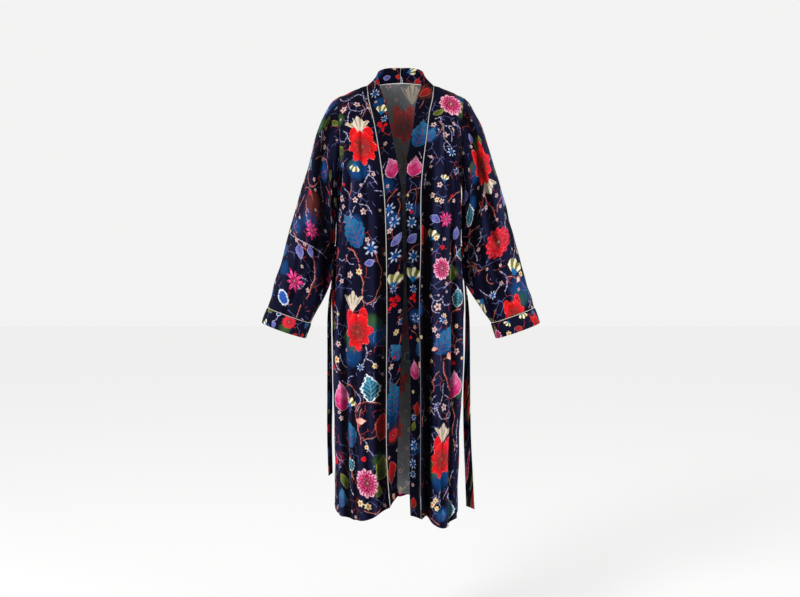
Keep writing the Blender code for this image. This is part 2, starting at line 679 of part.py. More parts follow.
def cuff_rings(side):
    """The middle, the sleeve's own direction and the ring at the cuff seam."""
    angles = [360 * share for share in shares(SLEEVE_COLUMNS)[:-1]]
    seam = [sleeve_point(side, 1.0, angle) for angle in angles]
    above = [sleeve_point(side, 0.96, angle) for angle in angles]
    middle = sum(seam, Vector()) / len(seam)
    last = SLEEVE_RINGS[side][-1]
    reach = ring_point(side, last, 0) - ring_point(side, last, 180)
    along = reach.cross(Vector((0, 1, 0))).normalized()
    if along.dot(middle - sum(above, Vector()) / len(above)) < 0:
        along.negate()
    return middle, along, seam


def make_cuff(side, finish, collection):
    middle, along, seam = cuff_rings(side)
    rows = []
    for share in shares(2):
        drop = 2 * PIPING_ROOM + CUFF_DEPTH * share
        ring = [p + (p - middle).normalized() * CUFF_FLARE + along * drop for p in seam]
        rows.append(ring)
    cloth(
        f"cuff_{SIDE_NAME[side]}", rows, Vector((side, 0, 0.4)), DOUBLE_CLOTH, finish, collection, closed=True
    )


def tube(name, path, closed, finish, collection):
    """Piping: a round cord along a path, as a curve object with its ends filled."""
    curve = bpy.data.curves.new(name, "CURVE")
    curve.dimensions = "3D"
    curve.bevel_depth = PIPING_RADIUS
    curve.bevel_resolution = 1
    curve.use_fill_caps = True
    spline = curve.splines.new("POLY")
    spline.points.add(len(path) - 1)
    for place, point in zip(spline.points, path):
        place.co = (*point, 1)
    spline.use_cyclic_u = closed
    curve.materials.append(finish)
    made = bpy.data.objects.new(name, curve)
    collection.objects.link(made)
    return made


def make_cuff_piping(side, finish, collection):
    middle, along, seam = cuff_rings(side)
    path = [p + along * PIPING_ROOM - (p - middle).normalized() * CLOTH / 4 for p in seam]
    return tube(f"cuff_piping_{SIDE_NAME[side]}", path, True, finish, collection)


def seam_places():
    """Places along the band seam, at the rows of the front and the columns of the back."""
    neck = [1 + share for share in shares(NECK_COLUMNS)][1:]
    return shares(PANEL_ROWS) + neck[:-1] + [CENTRE_BACK - 0.02, CENTRE_BACK]


def make_band(side, finish, collection):
    places = seam_places()
    rows = [[band_point(side, past, across) for across in (0.0, 0.35, 0.7, 1.0)] for past in places]
    mitres = []
    for j, past in enumerate(places):
        if past <= 1:
            into = front_point(side, 0.04, past) - seam_point(side, past)
        else:
            across = side * (CENTRE_BACK - past) * NECK_SHARE
            into = back_point(across, 0.97) - back_point(across, 1.0)
        mitres.append((j, 0, mitre(seam_run(side, past), into, into_band(side, past))))
    drawn_in(rows, 0, PIPING_ROOM + 0.0004)
    # The two halves are joined at the centre back, a seam gap apart.
    rows[-1] = [point + Vector((side * SEAM_GAP, 0, 0)) for point in rows[-1]]
    name, out = f"neckband_{SIDE_NAME[side]}", Vector((0, -1, 0))
    cloth(name, rows, out, DOUBLE_CLOTH, finish, collection, mitres=mitres, stretches=BAND_STRETCHES)


def make_band_piping(side, finish, collection):
    path = [seam_point(side, past) for past in seam_places()]
    path[-1] = path[-1] + Vector((side * SEAM_GAP * 0.6, 0, 0))
    return tube(f"band_piping_{SIDE_NAME[side]}", path, False, finish, collection)


def waist_rise(z):
    """The rise of a panel at a height, between the hem and the underarm."""
    rows = [(row.end[2], row.rise) for row in FRONT_ROWS if row.end]
    return through(rows, z)[0]


def off_body(side, share, height, spare):
    """A point off the body at the waist: height from the middle of the belt, spare off it."""
    rise = waist_rise(WAIST_Z + height)
    ahead, behind = plain_back(side * min(share + 0.02, 1.0), rise), plain_back(side * (share - 0.02), rise)
    out = (ahead - behind).cross(Vector((0, 0, side))).normalized()
    base = back_point(side * share, rise)
    if out.dot(Vector((base.x, base.y + 0.02, 0))) < 0:
        out.negate()
    return base + out * spare


def belt_rows():
    """The belt from its right end to its left one, as rows across its width."""
    halves = []
    for side in (RIGHT, LEFT):
        rows = []
        for z, out, ahead, degrees in reversed(BELT_HANG[side]):
            turn = math.radians(degrees)
            half = Vector((side * math.sin(turn), -math.cos(turn), 0)) * BELT_WIDTH / 2
            middle = Vector((side * out, -ahead, z))
            rows.append([middle - half, middle, middle + half])
        side_x = abs(off_body(side, 0.99, 0, BELT_SIDE_CLEARANCE + DOUBLE_CLOTH).x)
        hub = Vector((side * side_x, -0.006, WAIST_Z - BELT_BEND))
        for share in (0.12, 0.36, 0.6, 0.84):
            turn = share * math.pi / 2
            outwards = Vector((0, -math.cos(turn), math.sin(turn)))
            middle = hub + outwards * BELT_BEND + Vector((side * 0.003 * (1 - share), 0, 0))
            half = outwards * BELT_WIDTH / 2
            rows.append([middle - half, middle, middle + half])
        for share in (0.97, 0.90, 0.80, 0.68, 0.54, 0.38, 0.20):
            slack = ease((0.95 - share) / 0.3)
            spare = DOUBLE_CLOTH + BELT_SIDE_CLEARANCE
            spare += (BELT_BACK_CLEARANCE - BELT_SIDE_CLEARANCE) * slack
            rows.append([off_body(side, share, h, spare) for h in (-BELT_WIDTH / 2, 0, BELT_WIDTH / 2)])
        halves.append(rows)
    right, left = halves
    middle = [(a + b) / 2 for a, b in zip(right[-1], left[-1])]
    return right + [middle] + left[::-1]


def make_belt(finish, collection):
    cloth("belt", belt_rows(), Vector((-1, 0, 0)), DOUBLE_CLOTH, finish, collection)


def make_belt_loop(side, finish, collection):
    """A narrow strap down the side seam, with room behind it for the belt."""
    profile = LOOP_PROFILE + tuple((-height, stand) for height, stand in LOOP_PROFILE[-2::-1])
    rows = []
    for height, stand in profile:
        base = off_body(side, 0.99, height, 0)
        base.y = -0.001
        rows.append([base + Vector((side * stand, y, 0)) for y in (-LOOP_WIDTH / 2, LOOP_WIDTH / 2)])
    cloth(f"belt_loop_{SIDE_NAME[side]}", rows, Vector((side, 0, 0)), LOOP_STRAP, finish, collection)


def main():
    for old in list(bpy.data.objects):
        bpy.data.objects.remove(old)
    robe = bpy.data.collections.new("velvet_robe")
    bpy.context.scene.collection.children.link(robe)
    velvet = material("printed_velvet", (0.020, 0.022, 0.075), 0.85)
    piping = material("cream_piping", (0.85, 0.82, 0.74), 0.6)
    make_back(velvet, robe)
    make_belt(velvet, robe)
    for side in (RIGHT, LEFT):
        make_front(side, velvet, robe)
        make_sleeve(side, velvet, robe)
        make_cuff(side, velvet, robe)
        make_cuff_piping(side, piping, robe)
        make_band(side, velvet, robe)
        make_band_piping(side, piping, robe)
        make_belt_loop(side, velvet, robe)


main()
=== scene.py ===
# Velvet kimono robe, filled out as if worn and open down the front, with nobody inside.
# Metres, +Z up. The front faces -Y, and the wearer's left is +X.
import math
import random

import bpy
import numpy as np
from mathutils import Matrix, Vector


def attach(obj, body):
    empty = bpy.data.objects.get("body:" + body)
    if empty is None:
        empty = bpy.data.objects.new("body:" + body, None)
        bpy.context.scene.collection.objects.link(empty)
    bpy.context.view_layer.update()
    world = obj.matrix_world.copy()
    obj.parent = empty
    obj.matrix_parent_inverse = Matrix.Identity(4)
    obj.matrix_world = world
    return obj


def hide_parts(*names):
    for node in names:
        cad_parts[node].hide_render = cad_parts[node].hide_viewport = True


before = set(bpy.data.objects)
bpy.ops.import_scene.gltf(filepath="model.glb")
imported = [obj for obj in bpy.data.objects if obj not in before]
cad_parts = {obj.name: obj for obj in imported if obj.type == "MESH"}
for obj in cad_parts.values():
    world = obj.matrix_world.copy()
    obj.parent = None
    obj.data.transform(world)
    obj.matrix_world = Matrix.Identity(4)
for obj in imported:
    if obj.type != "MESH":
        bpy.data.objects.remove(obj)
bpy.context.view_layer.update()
scene = bpy.context.scene

cloth = 0.0016
doubleCloth = 0.0024
seamGap = 0.0003
pipingRadius = 0.0015
pipingRoom = pipingRadius + seamGap
hemTurnUp = 0.025
hemFade = 0.20  # the rise by which the hem's own shape has faded out
centreBack = 2.0  # how far up the band seam, past the shoulder at 1

right = -1  # the wearer's right, at -X
left = 1  # the wearer's left, at +X
sideName = {right: "right", left: "left"}
# how finely the cloth is drawn, with extra rows beside a rounded edge
drawing = {"step": 0.0046, "rows": 300, "columns": 96, "edgeRises": (0.0004, 0.0009, 0.0016),
           "edgeSteps": (0.0004, 0.0010, 0.0018)}
# whole-width shifts to +X: height, shift of the front opening, shift of the sides
shifts = (
    (-1.20, 0.0150, -0.0115),
    (-1.12, 0.0100, -0.0120),
    (-1.00, 0.0080, -0.0120),
    (-0.80, 0.0080, -0.0090),
    (-0.62, 0.0070, -0.0065),
    (-0.45, 0.0080, -0.0060),
    (-0.34, 0.0060, -0.0035),
    (-0.25, 0.0040, 0.0000),
    (-0.16, 0.0030, 0.0000),
    (-0.08, 0.0000, 0.0000),
)


def through(rows, at):
    # values at places on a smooth curve through rows of (place, value, value...)
    table = np.array(rows, float)
    places, values = table[:, 0], table[:, 1:]
    at = np.clip(np.asarray(at, float), places[0], places[-1])
    count = len(places)
    k = np.clip(np.searchsorted(places, at, side="right") - 1, 0, count - 2)
    before, after = np.maximum(np.arange(count) - 1, 0), np.minimum(np.arange(count) + 1, count - 1)
    slopes = (values[after] - values[before]) / (places[after] - places[before])[:, None]
    span = (places[k + 1] - places[k])[..., None]
    t = (at - places[k])[..., None] / span
    return (
        (2 * t**3 - 3 * t**2 + 1) * values[k]
        + (t**3 - 2 * t**2 + t) * slopes[k] * span
        + (3 * t**2 - 2 * t**3) * values[k + 1]
        + (t**3 - t**2) * slopes[k + 1] * span
    )


def ease(t):
    t = np.clip(t, 0.0, 1.0)
    return t * t * (3 - 2 * t)


def hump(distance, width):
    share = np.abs(distance) / width
    return np.where(share < 1, 0.5 + 0.5 * np.cos(np.pi * np.minimum(share, 1)), 0.0)


def unit(vectors):
    return vectors / np.maximum(np.linalg.norm(vectors, axis=-1, keepdims=True), 1e-12)


def mirrored(points, side):
    return np.asarray(points, float) * (side, 1, 1)


def shifted(points, column):
    points = points.copy()
    points[..., 0] += through(shifts, points[..., 2])[..., column]
    return points


def bezier(points, t):
    a, b, c, d = (p[..., None, :] for p in points)
    t = t[..., None]
    s = 1 - t
    return a * s**3 + b * 3 * s * s * t + c * 3 * s * t * t + d * t**3


def foldDepth(folds, across, rise):
    total = np.zeros(np.broadcast(across, rise).shape)
    for footAcross, footRise, footDepth, headAcross, headRise, headDepth, width in folds:
        share = (rise - footRise) / (headRise - footRise)
        inside = np.clip(share, 0, 1)
        middle = footAcross + (headAcross - footAcross) * inside
        depth = footDepth + (headDepth - footDepth) * inside
        total += depth * hump(across - middle, width) * ease(6 * inside) * ease(4 * (1 - inside))
    return total


def pushed(surface, across, rise, depth, outward):
    # the surface moved along its own normal
    step = 0.004
    along = surface(across, np.minimum(rise + step, 1)) - surface(across, np.maximum(rise - step, 0))
    over = surface(across + step, rise) - surface(across - step, rise)
    normal = unit(np.cross(over, along))
    normal *= np.where((normal * outward).sum(-1) < 0, -1, 1)[..., None]
    return surface(across, rise) + normal * depth[..., None]


def stepLengths(points, axis):
    # distance gone along each line of points, from 0
    steps = np.linalg.norm(np.diff(points, axis=axis), axis=2)
    first = np.zeros_like(steps[:1] if axis == 0 else steps[:, :1])
    return np.concatenate((first, np.cumsum(steps, axis=axis)), axis)


def respaced(points, startRoom, endRoom, step):
    # each row's points moved to even distances along it, closer together beside its rounded edges
    lengths = stepLengths(points, 1)
    total = lengths[:, -1]
    shares = np.linspace(0, 1, max(2, round(total.mean() / step)) + 1)
    close = np.array(drawing["edgeSteps"]) / total.mean()
    shares = np.unique(np.concatenate((shares, close, 1 - close)))
    startRoom, endRoom = startRoom + 0 * total, endRoom + 0 * total
    moved = np.empty((len(points), len(shares), 3))
    for k, row in enumerate(points):
        at = startRoom[k] + shares * (total[k] - startRoom[k] - endRoom[k])
        for axis in range(3):
            moved[k, :, axis] = np.interp(at, lengths[k], row[:, axis])
    return moved


def trimmedTop(points, room):
    # the last row drawn down by its room, one for each column
    points = points.copy()
    step = points[-2] - points[-1]
    length = np.linalg.norm(step, axis=1)
    points[-1] += step / length[:, None] * np.minimum(room, length * 0.7)[:, None]
    return points


def uneven(u, v, seed, size):
    # broad soft waves that keep a worn panel from lying perfectly even
    draw = random.Random(seed)
    total = 0 * u
    for wave in range(7):
        turn, length = draw.uniform(0, math.pi), draw.uniform(0.05, 0.19)
        along = u * math.cos(turn) + v * math.sin(turn)
        total = total + np.sin(along * 2 * math.pi / length + draw.uniform(0, 6.3))
    return total * size / 7


def edgeKinds(low, high, start=None, end=None):
    return {"low": low, "high": high, "start": start, "end": end}


frontPanel = {
    # a row is a section across the panel, for the left side: its rise from the hem at 0 to the shoulder
    # seam at 1, start (at the band seam, or the centre back) with its handle, end (at the side seam) with
    # its handle. Above the underarm a row ends on the armhole, at an angle down from the shoulder
    "rows": (
        (0.0, (0.041, -0.126, -1.186), (0.05, -0.012, 0), (0.172, 0.0, -1.186), (0, -0.088, 0)),
        (0.16, (0.045, -0.132, -1.0), (0.055, -0.01, 0), (0.171, 0.0, -1.0), (0, -0.092, 0)),
        (0.33, (0.045, -0.137, -0.8), (0.062, -0.005, 0), (0.18, 0.0, -0.8), (0, -0.094, 0)),
        (0.48, (0.043, -0.138, -0.62), (0.068, 0.0, 0), (0.182, 0.0, -0.62), (0.004, -0.096, 0)),
        (0.62, (0.046, -0.135, -0.45), (0.066, 0.0, 0), (0.172, 0.002, -0.45), (0.01, -0.102, 0)),
        (0.73, (0.0487, -0.131, -0.32), (0.066, 0.0, 0), (0.17, 0.004, -0.32), (0.008, -0.106, 0)),
        (0.795, (0.056, -0.122, -0.24), (0.062, -0.006, 0), (0.168, 0.005, -0.256), (0.003, -0.102, 0)),
        (0.86, (0.0672, -0.1, -0.16), (0.044, -0.014, -0.004), None, (0.006, -0.05, 0), 126),
        (0.92, (0.078, -0.067, -0.092), (0.036, -0.012, -0.008), None, (-0.016, -0.028, 0.006), 82),
        (0.962, (0.0888, -0.033, -0.042), (0.032, -0.006, -0.01), None, (-0.028, -0.014, 0.01), 38),
        (1.0, (0.0934, 0.0, 0.0), (0.03, 0.0, -0.008), None, (-0.028, 0.0, 0.014), 0),
    ),
    # lower edge: share of the width from the band seam to the side, height
    "hem": {
        right: ((0.0, -1.152), (0.14, -1.166), (0.32, -1.186), (0.65, -1.191), (1.0, -1.174)),
        left: ((0.0, -1.184), (0.10, -1.180), (0.22, -1.198), (0.45, -1.212), (0.75, -1.196), (1.0, -1.176)),
    },
    # large folds: foot across, foot rise, foot depth, head across, head rise, head depth, half width.
    # Depth is out (+) or in (-)
    "folds": {
        right: (
            (0.1, -0.2, -0.01, 0.09, 0.8, -0.004, 0.12), (0.36, -0.2, 0.01, 0.34, 0.62, 0.002, 0.2),
            (0.62, -0.2, -0.01, 0.6, 0.6, -0.003, 0.12), (0.84, 0.05, 0.007, 0.6, 0.9, 0.006, 0.12),
            (0.93, 0.1, -0.006, 0.82, 0.8, -0.007, 0.09),
        ),
        left: (
            (0.115, -0.2, -0.025, 0.105, 0.88, -0.014, 0.115), (0.3, -0.2, 0.01, 0.28, 0.7, 0.003, 0.16),
            (0.66, -0.2, -0.012, 0.5, 0.78, -0.006, 0.12), (0.86, 0.0, 0.007, 0.62, 0.92, 0.007, 0.11),
            (0.95, 0.15, -0.005, 0.84, 0.8, -0.008, 0.09),
        ),
    },
    # fine creases over them
    "creases": {
        right: (
            (0.2, -0.1, 0.003, 0.24, 0.44, 0.001, 0.05), (0.29, -0.1, -0.0034, 0.31, 0.5, -0.0008, 0.055),
            (0.47, -0.1, -0.004, 0.44, 0.4, -0.001, 0.06), (0.53, 0.02, 0.0034, 0.5, 0.52, 0.0014, 0.045),
            (0.72, -0.1, 0.004, 0.7, 0.56, 0.0014, 0.06), (0.78, 0.3, -0.003, 0.6, 0.84, -0.0036, 0.05),
            (0.66, 0.46, 0.0026, 0.4, 0.86, 0.0022, 0.055), (0.9, 0.52, -0.004, 0.72, 0.9, -0.0036, 0.055),
            (0.22, 0.56, -0.0022, 0.34, 0.93, -0.0018, 0.06), (0.98, 0.4, 0.003, 0.86, 0.8, 0.003, 0.05),
        ),
        left: (
            (0.24, -0.1, 0.0036, 0.23, 0.5, 0.0016, 0.05), (0.36, -0.1, -0.004, 0.34, 0.46, -0.001, 0.055),
            (0.5, 0.0, 0.004, 0.47, 0.48, 0.0012, 0.06), (0.57, -0.1, -0.0036, 0.55, 0.6, -0.0016, 0.045),
            (0.76, -0.1, 0.0044, 0.72, 0.52, 0.0012, 0.06), (0.8, 0.34, -0.0034, 0.62, 0.86, -0.0034, 0.05),
            (0.7, 0.44, 0.003, 0.46, 0.88, 0.0026, 0.05), (0.92, 0.5, -0.0042, 0.76, 0.9, -0.0038, 0.055),
            (0.3, 0.58, -0.0026, 0.38, 0.93, -0.0018, 0.055), (0.98, 0.42, 0.0034, 0.88, 0.8, 0.003, 0.05),
        ),
    },
    "waves": 0.0022,
    "seed": 11,
    "cut": (0.275, 1.23),
    "area": 0.262,
}


def ringPoint(side, ring, angle):
    # ring holds outer x and z, inner x and z, depth, ahead and scoop in its last axis
    outerX, outerZ, innerX, innerZ, depth, ahead, scoop = np.moveaxis(np.asarray(ring, float), -1, 0)
    turn = np.radians(angle)
    x = (outerX + innerX) / 2 - scoop * np.sin(turn) ** 2 + (outerX - innerX) / 2 * np.cos(turn)
    y = -ahead - depth * np.sin(turn)
    z = (outerZ + innerZ) / 2 + (outerZ - innerZ) / 2 * np.cos(turn)
    return np.stack((side * x, y + 0 * x, z), -1)


def handles(rows, side, rise, front):
    # the four Bezier points of a panel's rows
    start, lead, tuck = (through([(row[0], *row[k]) for row in rows], rise) for k in (1, 2, 4))
    below = [row for row in rows if row[3]]
    end = shifted(mirrored(through([(row[0], *row[3]) for row in below], rise), side), 1)
    top = below[-1][0]
    angle = through([(top, 180), *[(row[0], row[5]) for row in rows if not row[3]]], rise)[..., 0]
    armhole = ringPoint(side, sleeve["rings"][side][0][1:], angle if front else 360 - angle)
    end = np.where((np.asarray(rise) <= top)[..., None], end, armhole)
    start = shifted(mirrored(start, side), 0 if front else 1)
    return start, start + mirrored(lead, side), end + mirrored(tuck, side), end


def hemShaped(points, hemRow, across, rise, level):
    height = through(hemRow, across)[..., 0]
    share = np.where(rise < hemFade, 1 - ease(rise / hemFade), 0)[:, None]
    points = points.copy()
    points[..., 2] += (height - level) * share
    return points


def plainFront(side, across, rise):
    across = np.clip(across, 0, 1) + 0 * rise[:, None]
    points = bezier(handles(frontPanel["rows"], side, rise, True), across)
    return hemShaped(points, frontPanel["hem"][side], across, rise, frontPanel["rows"][0][1][2])


panelRises = np.unique(np.concatenate((np.linspace(0, 1, drawing["rows"]), drawing["edgeRises"])))


def panelDepth(panel, folds, creases, across, rise, seed):
    depth = foldDepth(folds, across, rise) + foldDepth(creases, across, rise)
    return depth + uneven(across * 0.24, rise * 1.2, seed, panel["waves"]) if seed else depth


def frontPiece(side):
    across = np.linspace(0, 1, drawing["columns"]) + 0 * panelRises[:, None]
    depth = panelDepth(frontPanel, frontPanel["folds"][side], frontPanel["creases"][side], across,
                       panelRises[:, None], frontPanel["seed"] + side)
    depth = depth * ease(across / 0.04) * ease((1 - across) / 0.05)
    outward = np.stack((side * across, across - 1, 0 * across + 0.2), -1)
    points = pushed(lambda a, r: plainFront(side, a, r), across, panelRises, depth, outward)
    points = trimmedTop(respaced(points, pipingRoom, seamGap, drawing["step"]), seamGap)
    return {
        "name": "frontPanel_" + sideName[side], "part": "front" + sideName[side].title(),
        "nodes": [f"front_{sideName[side]}_{part}" for part in ("skirt", "waist", "chest")],
        "points": points[:, ::side], "outward": (0, -1, 0), "zeroRow": 0.62,
        "zeroColumn": 1 if side == right else 0,
        "thickness": cloth, "edges": edgeKinds("fold", "seam", "seam", "seam"), "turnUp": hemTurnUp,
        "cut": frontPanel["cut"], "area": frontPanel["area"],
    }


backPanel = {
    # rows as in frontPanel
    "rows": (
        (0.0, (0.0, 0.138, -1.17), (0.085, 0.0, 0), (0.172, 0.0, -1.186), (0, 0.086, 0)),
        (0.16, (0.0, 0.14, -1.0), (0.088, 0.0, 0), (0.171, 0.0, -1.0), (0, 0.088, 0)),
        (0.33, (0.0, 0.142, -0.8), (0.09, 0.0, 0), (0.18, 0.0, -0.8), (0, 0.09, 0)),
        (0.48, (0.0, 0.141, -0.62), (0.092, 0.0, 0), (0.182, 0.0, -0.62), (0.002, 0.088, 0)),
        (0.62, (0.0, 0.122, -0.45), (0.088, 0.0, 0), (0.172, 0.002, -0.45), (0.004, 0.08, 0)),
        (0.73, (0.0, 0.119, -0.32), (0.084, 0.0, 0), (0.17, 0.004, -0.32), (0.004, 0.08, 0)),
        (0.795, (0.0, 0.121, -0.24), (0.08, 0.0, 0), (0.168, 0.005, -0.256), (0.004, 0.078, 0)),
        (0.86, (0.0, 0.116, -0.16), (0.074, 0.002, 0), None, (0.006, 0.044, 0), 126),
        (0.92, (0.0, 0.102, -0.08), (0.068, 0.002, 0), None, (-0.016, 0.028, 0.006), 82),
        (0.962, (0.0, 0.089, -0.024), (0.064, 0.0, -0.003), None, (-0.028, 0.014, 0.01), 38),
        (1.0, (0.0, 0.075, 0.0226), (0.06, -0.006, -0.004), None, (-0.028, 0.0, 0.014), 0),
    ),
    # above this rise the rows bend to the neck and shoulder seams
    "topRise": 0.90,
    # share of a half back's width that ends on the neck seam
    "neckShare": 7 / 13,
    # lower edge: share of the width from the centre back to the side, height
    "hem": {
        right: ((0.0, -1.170), (0.5, -1.174), (1.0, -1.174)),
        left: ((0.0, -1.170), (0.5, -1.172), (1.0, -1.176)),
    },
    # folds and creases as in frontPanel, across from -1 at the right side seam to 1
    "folds": (
        # across runs from -1 at the right side seam, through the centre back, to 1
        (-0.8, -0.2, 0.01, -0.7, 0.85, 0.004, 0.14), (-0.52, -0.2, -0.014, -0.44, 0.7, -0.003, 0.13),
        (-0.24, -0.2, 0.012, -0.2, 0.6, 0.002, 0.14), (0.04, -0.2, -0.012, 0.02, 0.66, -0.002, 0.13),
        (0.31, -0.2, 0.013, 0.24, 0.58, 0.002, 0.14), (0.58, -0.2, -0.013, 0.48, 0.74, -0.004, 0.12),
        (0.82, -0.2, 0.009, 0.72, 0.85, 0.004, 0.12),
    ),
    "creases": (
        (-0.88, -0.1, -0.004, -0.8, 0.55, -0.0012, 0.05), (-0.66, -0.1, 0.004, -0.6, 0.48, 0.001, 0.045),
        (-0.38, -0.1, -0.0036, -0.34, 0.4, -0.001, 0.05), (-0.11, -0.1, 0.004, -0.1, 0.44, 0.0012, 0.045),
        (0.17, -0.1, -0.0038, 0.13, 0.42, -0.001, 0.05), (0.44, -0.1, 0.0042, 0.38, 0.5, 0.0012, 0.045),
        (0.7, -0.1, -0.004, 0.62, 0.52, -0.0012, 0.05), (-0.84, 0.5, -0.004, -0.52, 0.92, -0.003, 0.055),
        (0.84, 0.5, -0.004, 0.54, 0.92, -0.003, 0.055), (-0.72, 0.6, 0.0034, -0.36, 0.95, 0.0016, 0.06),
        (0.7, 0.58, 0.0036, 0.34, 0.95, 0.0018, 0.06), (0.05, 0.55, -0.0024, -0.04, 0.93, -0.0012, 0.07),
        (-0.3, 0.62, 0.003, 0.28, 0.66, 0.003, 0.05),
    ),
    "waves": 0.0026,
    "seed": 23,
    "cut": (0.52, 1.24),
    "area": 0.60,
}


def backTop(side, across):
    neckShare = backPanel["neckShare"]
    neck = mirrored(through(neckband["neckSeam"], centreBack - across / neckShare), side)
    shoulder = handles(frontPanel["rows"], side, np.array([1.0]), True)
    shoulder = bezier(shoulder, np.clip((across - neckShare) / (1 - neckShare), 0, 1)[None])[0]
    return np.where((across < neckShare)[..., None], neck, shoulder)


def plainBack(across, rise):
    across = np.clip(across, -1, 1) + 0 * rise[:, None]
    halves = []
    for side in (right, left):
        wide = np.abs(across)
        points = bezier(handles(backPanel["rows"], side, rise, False), wide)
        share = ease((rise - backPanel["topRise"]) / (1 - backPanel["topRise"]))[:, None, None]
        top = np.stack([backTop(side, row) for row in wide]) if share.max() > 0 else 0 * points
        bent = points + (top - points) * share
        halves.append(hemShaped(bent, backPanel["hem"][side], wide, rise, points[..., 2]))
    return np.where((across >= 0)[..., None], halves[1], halves[0])


def backPoint(across, rise, creases=(), seed=0):
    across = across + 0 * rise[:, None]
    depth = panelDepth(backPanel, backPanel["folds"], creases, across, rise[:, None], seed)
    depth = depth * ease((1 - np.abs(across)) / 0.05)
    outward = np.stack((across, 1 - np.abs(across), 0 * across + 0.2), -1)
    return pushed(plainBack, across, rise, depth, outward)


def backPiece():
    across = np.linspace(-1, 1, 2 * drawing["columns"] + 1)
    points = backPoint(across, panelRises, backPanel["creases"], backPanel["seed"])
    points = respaced(points, seamGap, seamGap, drawing["step"])
    share = np.abs(np.linspace(-1, 1, points.shape[1]))
    points = trimmedTop(points, np.where(share < backPanel["neckShare"] + 0.01, pipingRoom + 0.0005, seamGap))
    return {
        "name": "backPanel", "part": "back",
        "nodes": [f"back_{part}" for part in ("hem", "skirt", "waist", "chest")],
        "points": points[:, ::-1], "outward": (0, 1, 0), "zeroRow": 0.62, "zeroColumn": 0.5,
        "thickness": cloth, "edges": edgeKinds("fold", "seam", "seam", "seam"), "turnUp": hemTurnUp,
        "cut": backPanel["cut"], "area": backPanel["area"],
    }


sleeve = {
    # along from the armhole to the cuff seam, outer x and z, inner x and z, half depth, how far the middle lies
    # towards the front, and how far the front and back are drawn in
    "rings": {
        right: (
            (0.0, 0.176, -0.0345, 0.168, -0.256, 0.08, -0.005, 0.006),
            (0.05, 0.1955, -0.052, 0.1705, -0.272, 0.085, -0.005, 0.005),
            (0.15, 0.2265, -0.114, 0.1735, -0.3, 0.089, -0.004, 0.002),
            (0.28, 0.2495, -0.2, 0.1775, -0.34, 0.089, 0.0, 0),
            (0.43, 0.2768, -0.298, 0.1812, -0.394, 0.083, 0.006, 0),
            (0.58, 0.3028, -0.392, 0.1875, -0.46, 0.077, 0.012, 0),
            (0.74, 0.3258, -0.482, 0.197, -0.536, 0.071, 0.018, 0),
            (0.88, 0.3465, -0.556, 0.221, -0.601, 0.065, 0.024, 0),
            (1.0, 0.3655, -0.619, 0.246, -0.662, 0.059, 0.028, 0),
        ),
        left: (
            (0.0, 0.176, -0.0345, 0.168, -0.256, 0.08, -0.005, 0.006),
            (0.05, 0.1915, -0.05, 0.17, -0.272, 0.085, -0.005, 0.005),
            (0.1, 0.2075, -0.078, 0.1708, -0.286, 0.087, -0.005, 0.004),
            (0.16, 0.2255, -0.116, 0.1716, -0.303, 0.089, -0.004, 0.002),
            (0.28, 0.2521, -0.2, 0.1712, -0.34, 0.089, 0.0, 0),
            (0.43, 0.2813, -0.298, 0.1722, -0.394, 0.083, 0.006, 0),
            (0.58, 0.3058, -0.392, 0.1755, -0.46, 0.077, 0.012, 0),
            (0.74, 0.328, -0.482, 0.18, -0.534, 0.071, 0.018, 0),
            (0.88, 0.35, -0.556, 0.211, -0.599, 0.065, 0.024, 0),
            (1.0, 0.3677, -0.619, 0.249, -0.662, 0.059, 0.028, 0),
        ),
    },
    # how far it stands off the armhole
    "off": 0.0012,
    # foot angle, foot along, head angle, head along, half width, depth. Degrees from the outer edge by the front
    "folds": {
        right: (
            (70, 0.86, 50, 0.1, 26, 0.006), (118, 0.95, 100, 0.18, 24, -0.007),
            (150, 0.7, 128, 0.2, 18, 0.005), (235, 0.9, 250, 0.15, 26, -0.006),
            (300, 0.8, 310, 0.12, 26, 0.005),
        ),
        left: (
            (58, 0.8, 40, 0.06, 20, 0.007), (88, 0.92, 70, 0.1, 20, -0.007),
            (140, 0.85, 112, 0.16, 24, 0.006), (230, 0.88, 245, 0.15, 26, -0.006),
            (296, 0.85, 300, 0.12, 24, 0.005),
        ),
    },
    "creases": {
        right: (
            (96, 0.62, 74, 0.06, 12, -0.003), (128, 0.54, 150, 0.04, 13, -0.0036),
            (112, 0.98, 132, 0.48, 12, 0.0032), (84, 0.99, 96, 0.56, 12, -0.003),
            (55, 0.96, 40, 0.4, 14, 0.0026), (166, 0.8, 158, 0.42, 11, -0.0034),
            (262, 0.9, 236, 0.1, 13, 0.0034), (214, 0.62, 200, 0.05, 13, -0.0038),
            (284, 0.97, 292, 0.44, 12, -0.003), (330, 0.7, 334, 0.12, 15, 0.0022),
            (180, 0.98, 180, 0.14, 34, 0.0044), (180, 0.97, 180, 0.56, 30, 0.0034),
        ),
        left: (
            (104, 0.66, 92, 0.08, 12, 0.003), (124, 0.6, 146, 0.05, 12, -0.0038),
            (100, 0.98, 118, 0.52, 12, -0.003), (74, 0.98, 84, 0.55, 11, 0.0028),
            (40, 0.94, 30, 0.42, 14, -0.0022), (166, 0.84, 160, 0.46, 11, -0.0034),
            (258, 0.92, 232, 0.12, 13, 0.0034), (210, 0.64, 198, 0.05, 13, -0.0036),
            (280, 0.96, 290, 0.4, 12, -0.003), (332, 0.7, 336, 0.1, 15, 0.0022),
            (180, 0.98, 180, 0.14, 34, 0.0044), (180, 0.97, 180, 0.56, 30, 0.0034),
        ),
    },
    "waves": 0.003,
    "seed": 5,
    "round": 104,
    "rows": 134,
    "cut": (0.46, 0.64),
    "area": 0.245,
}


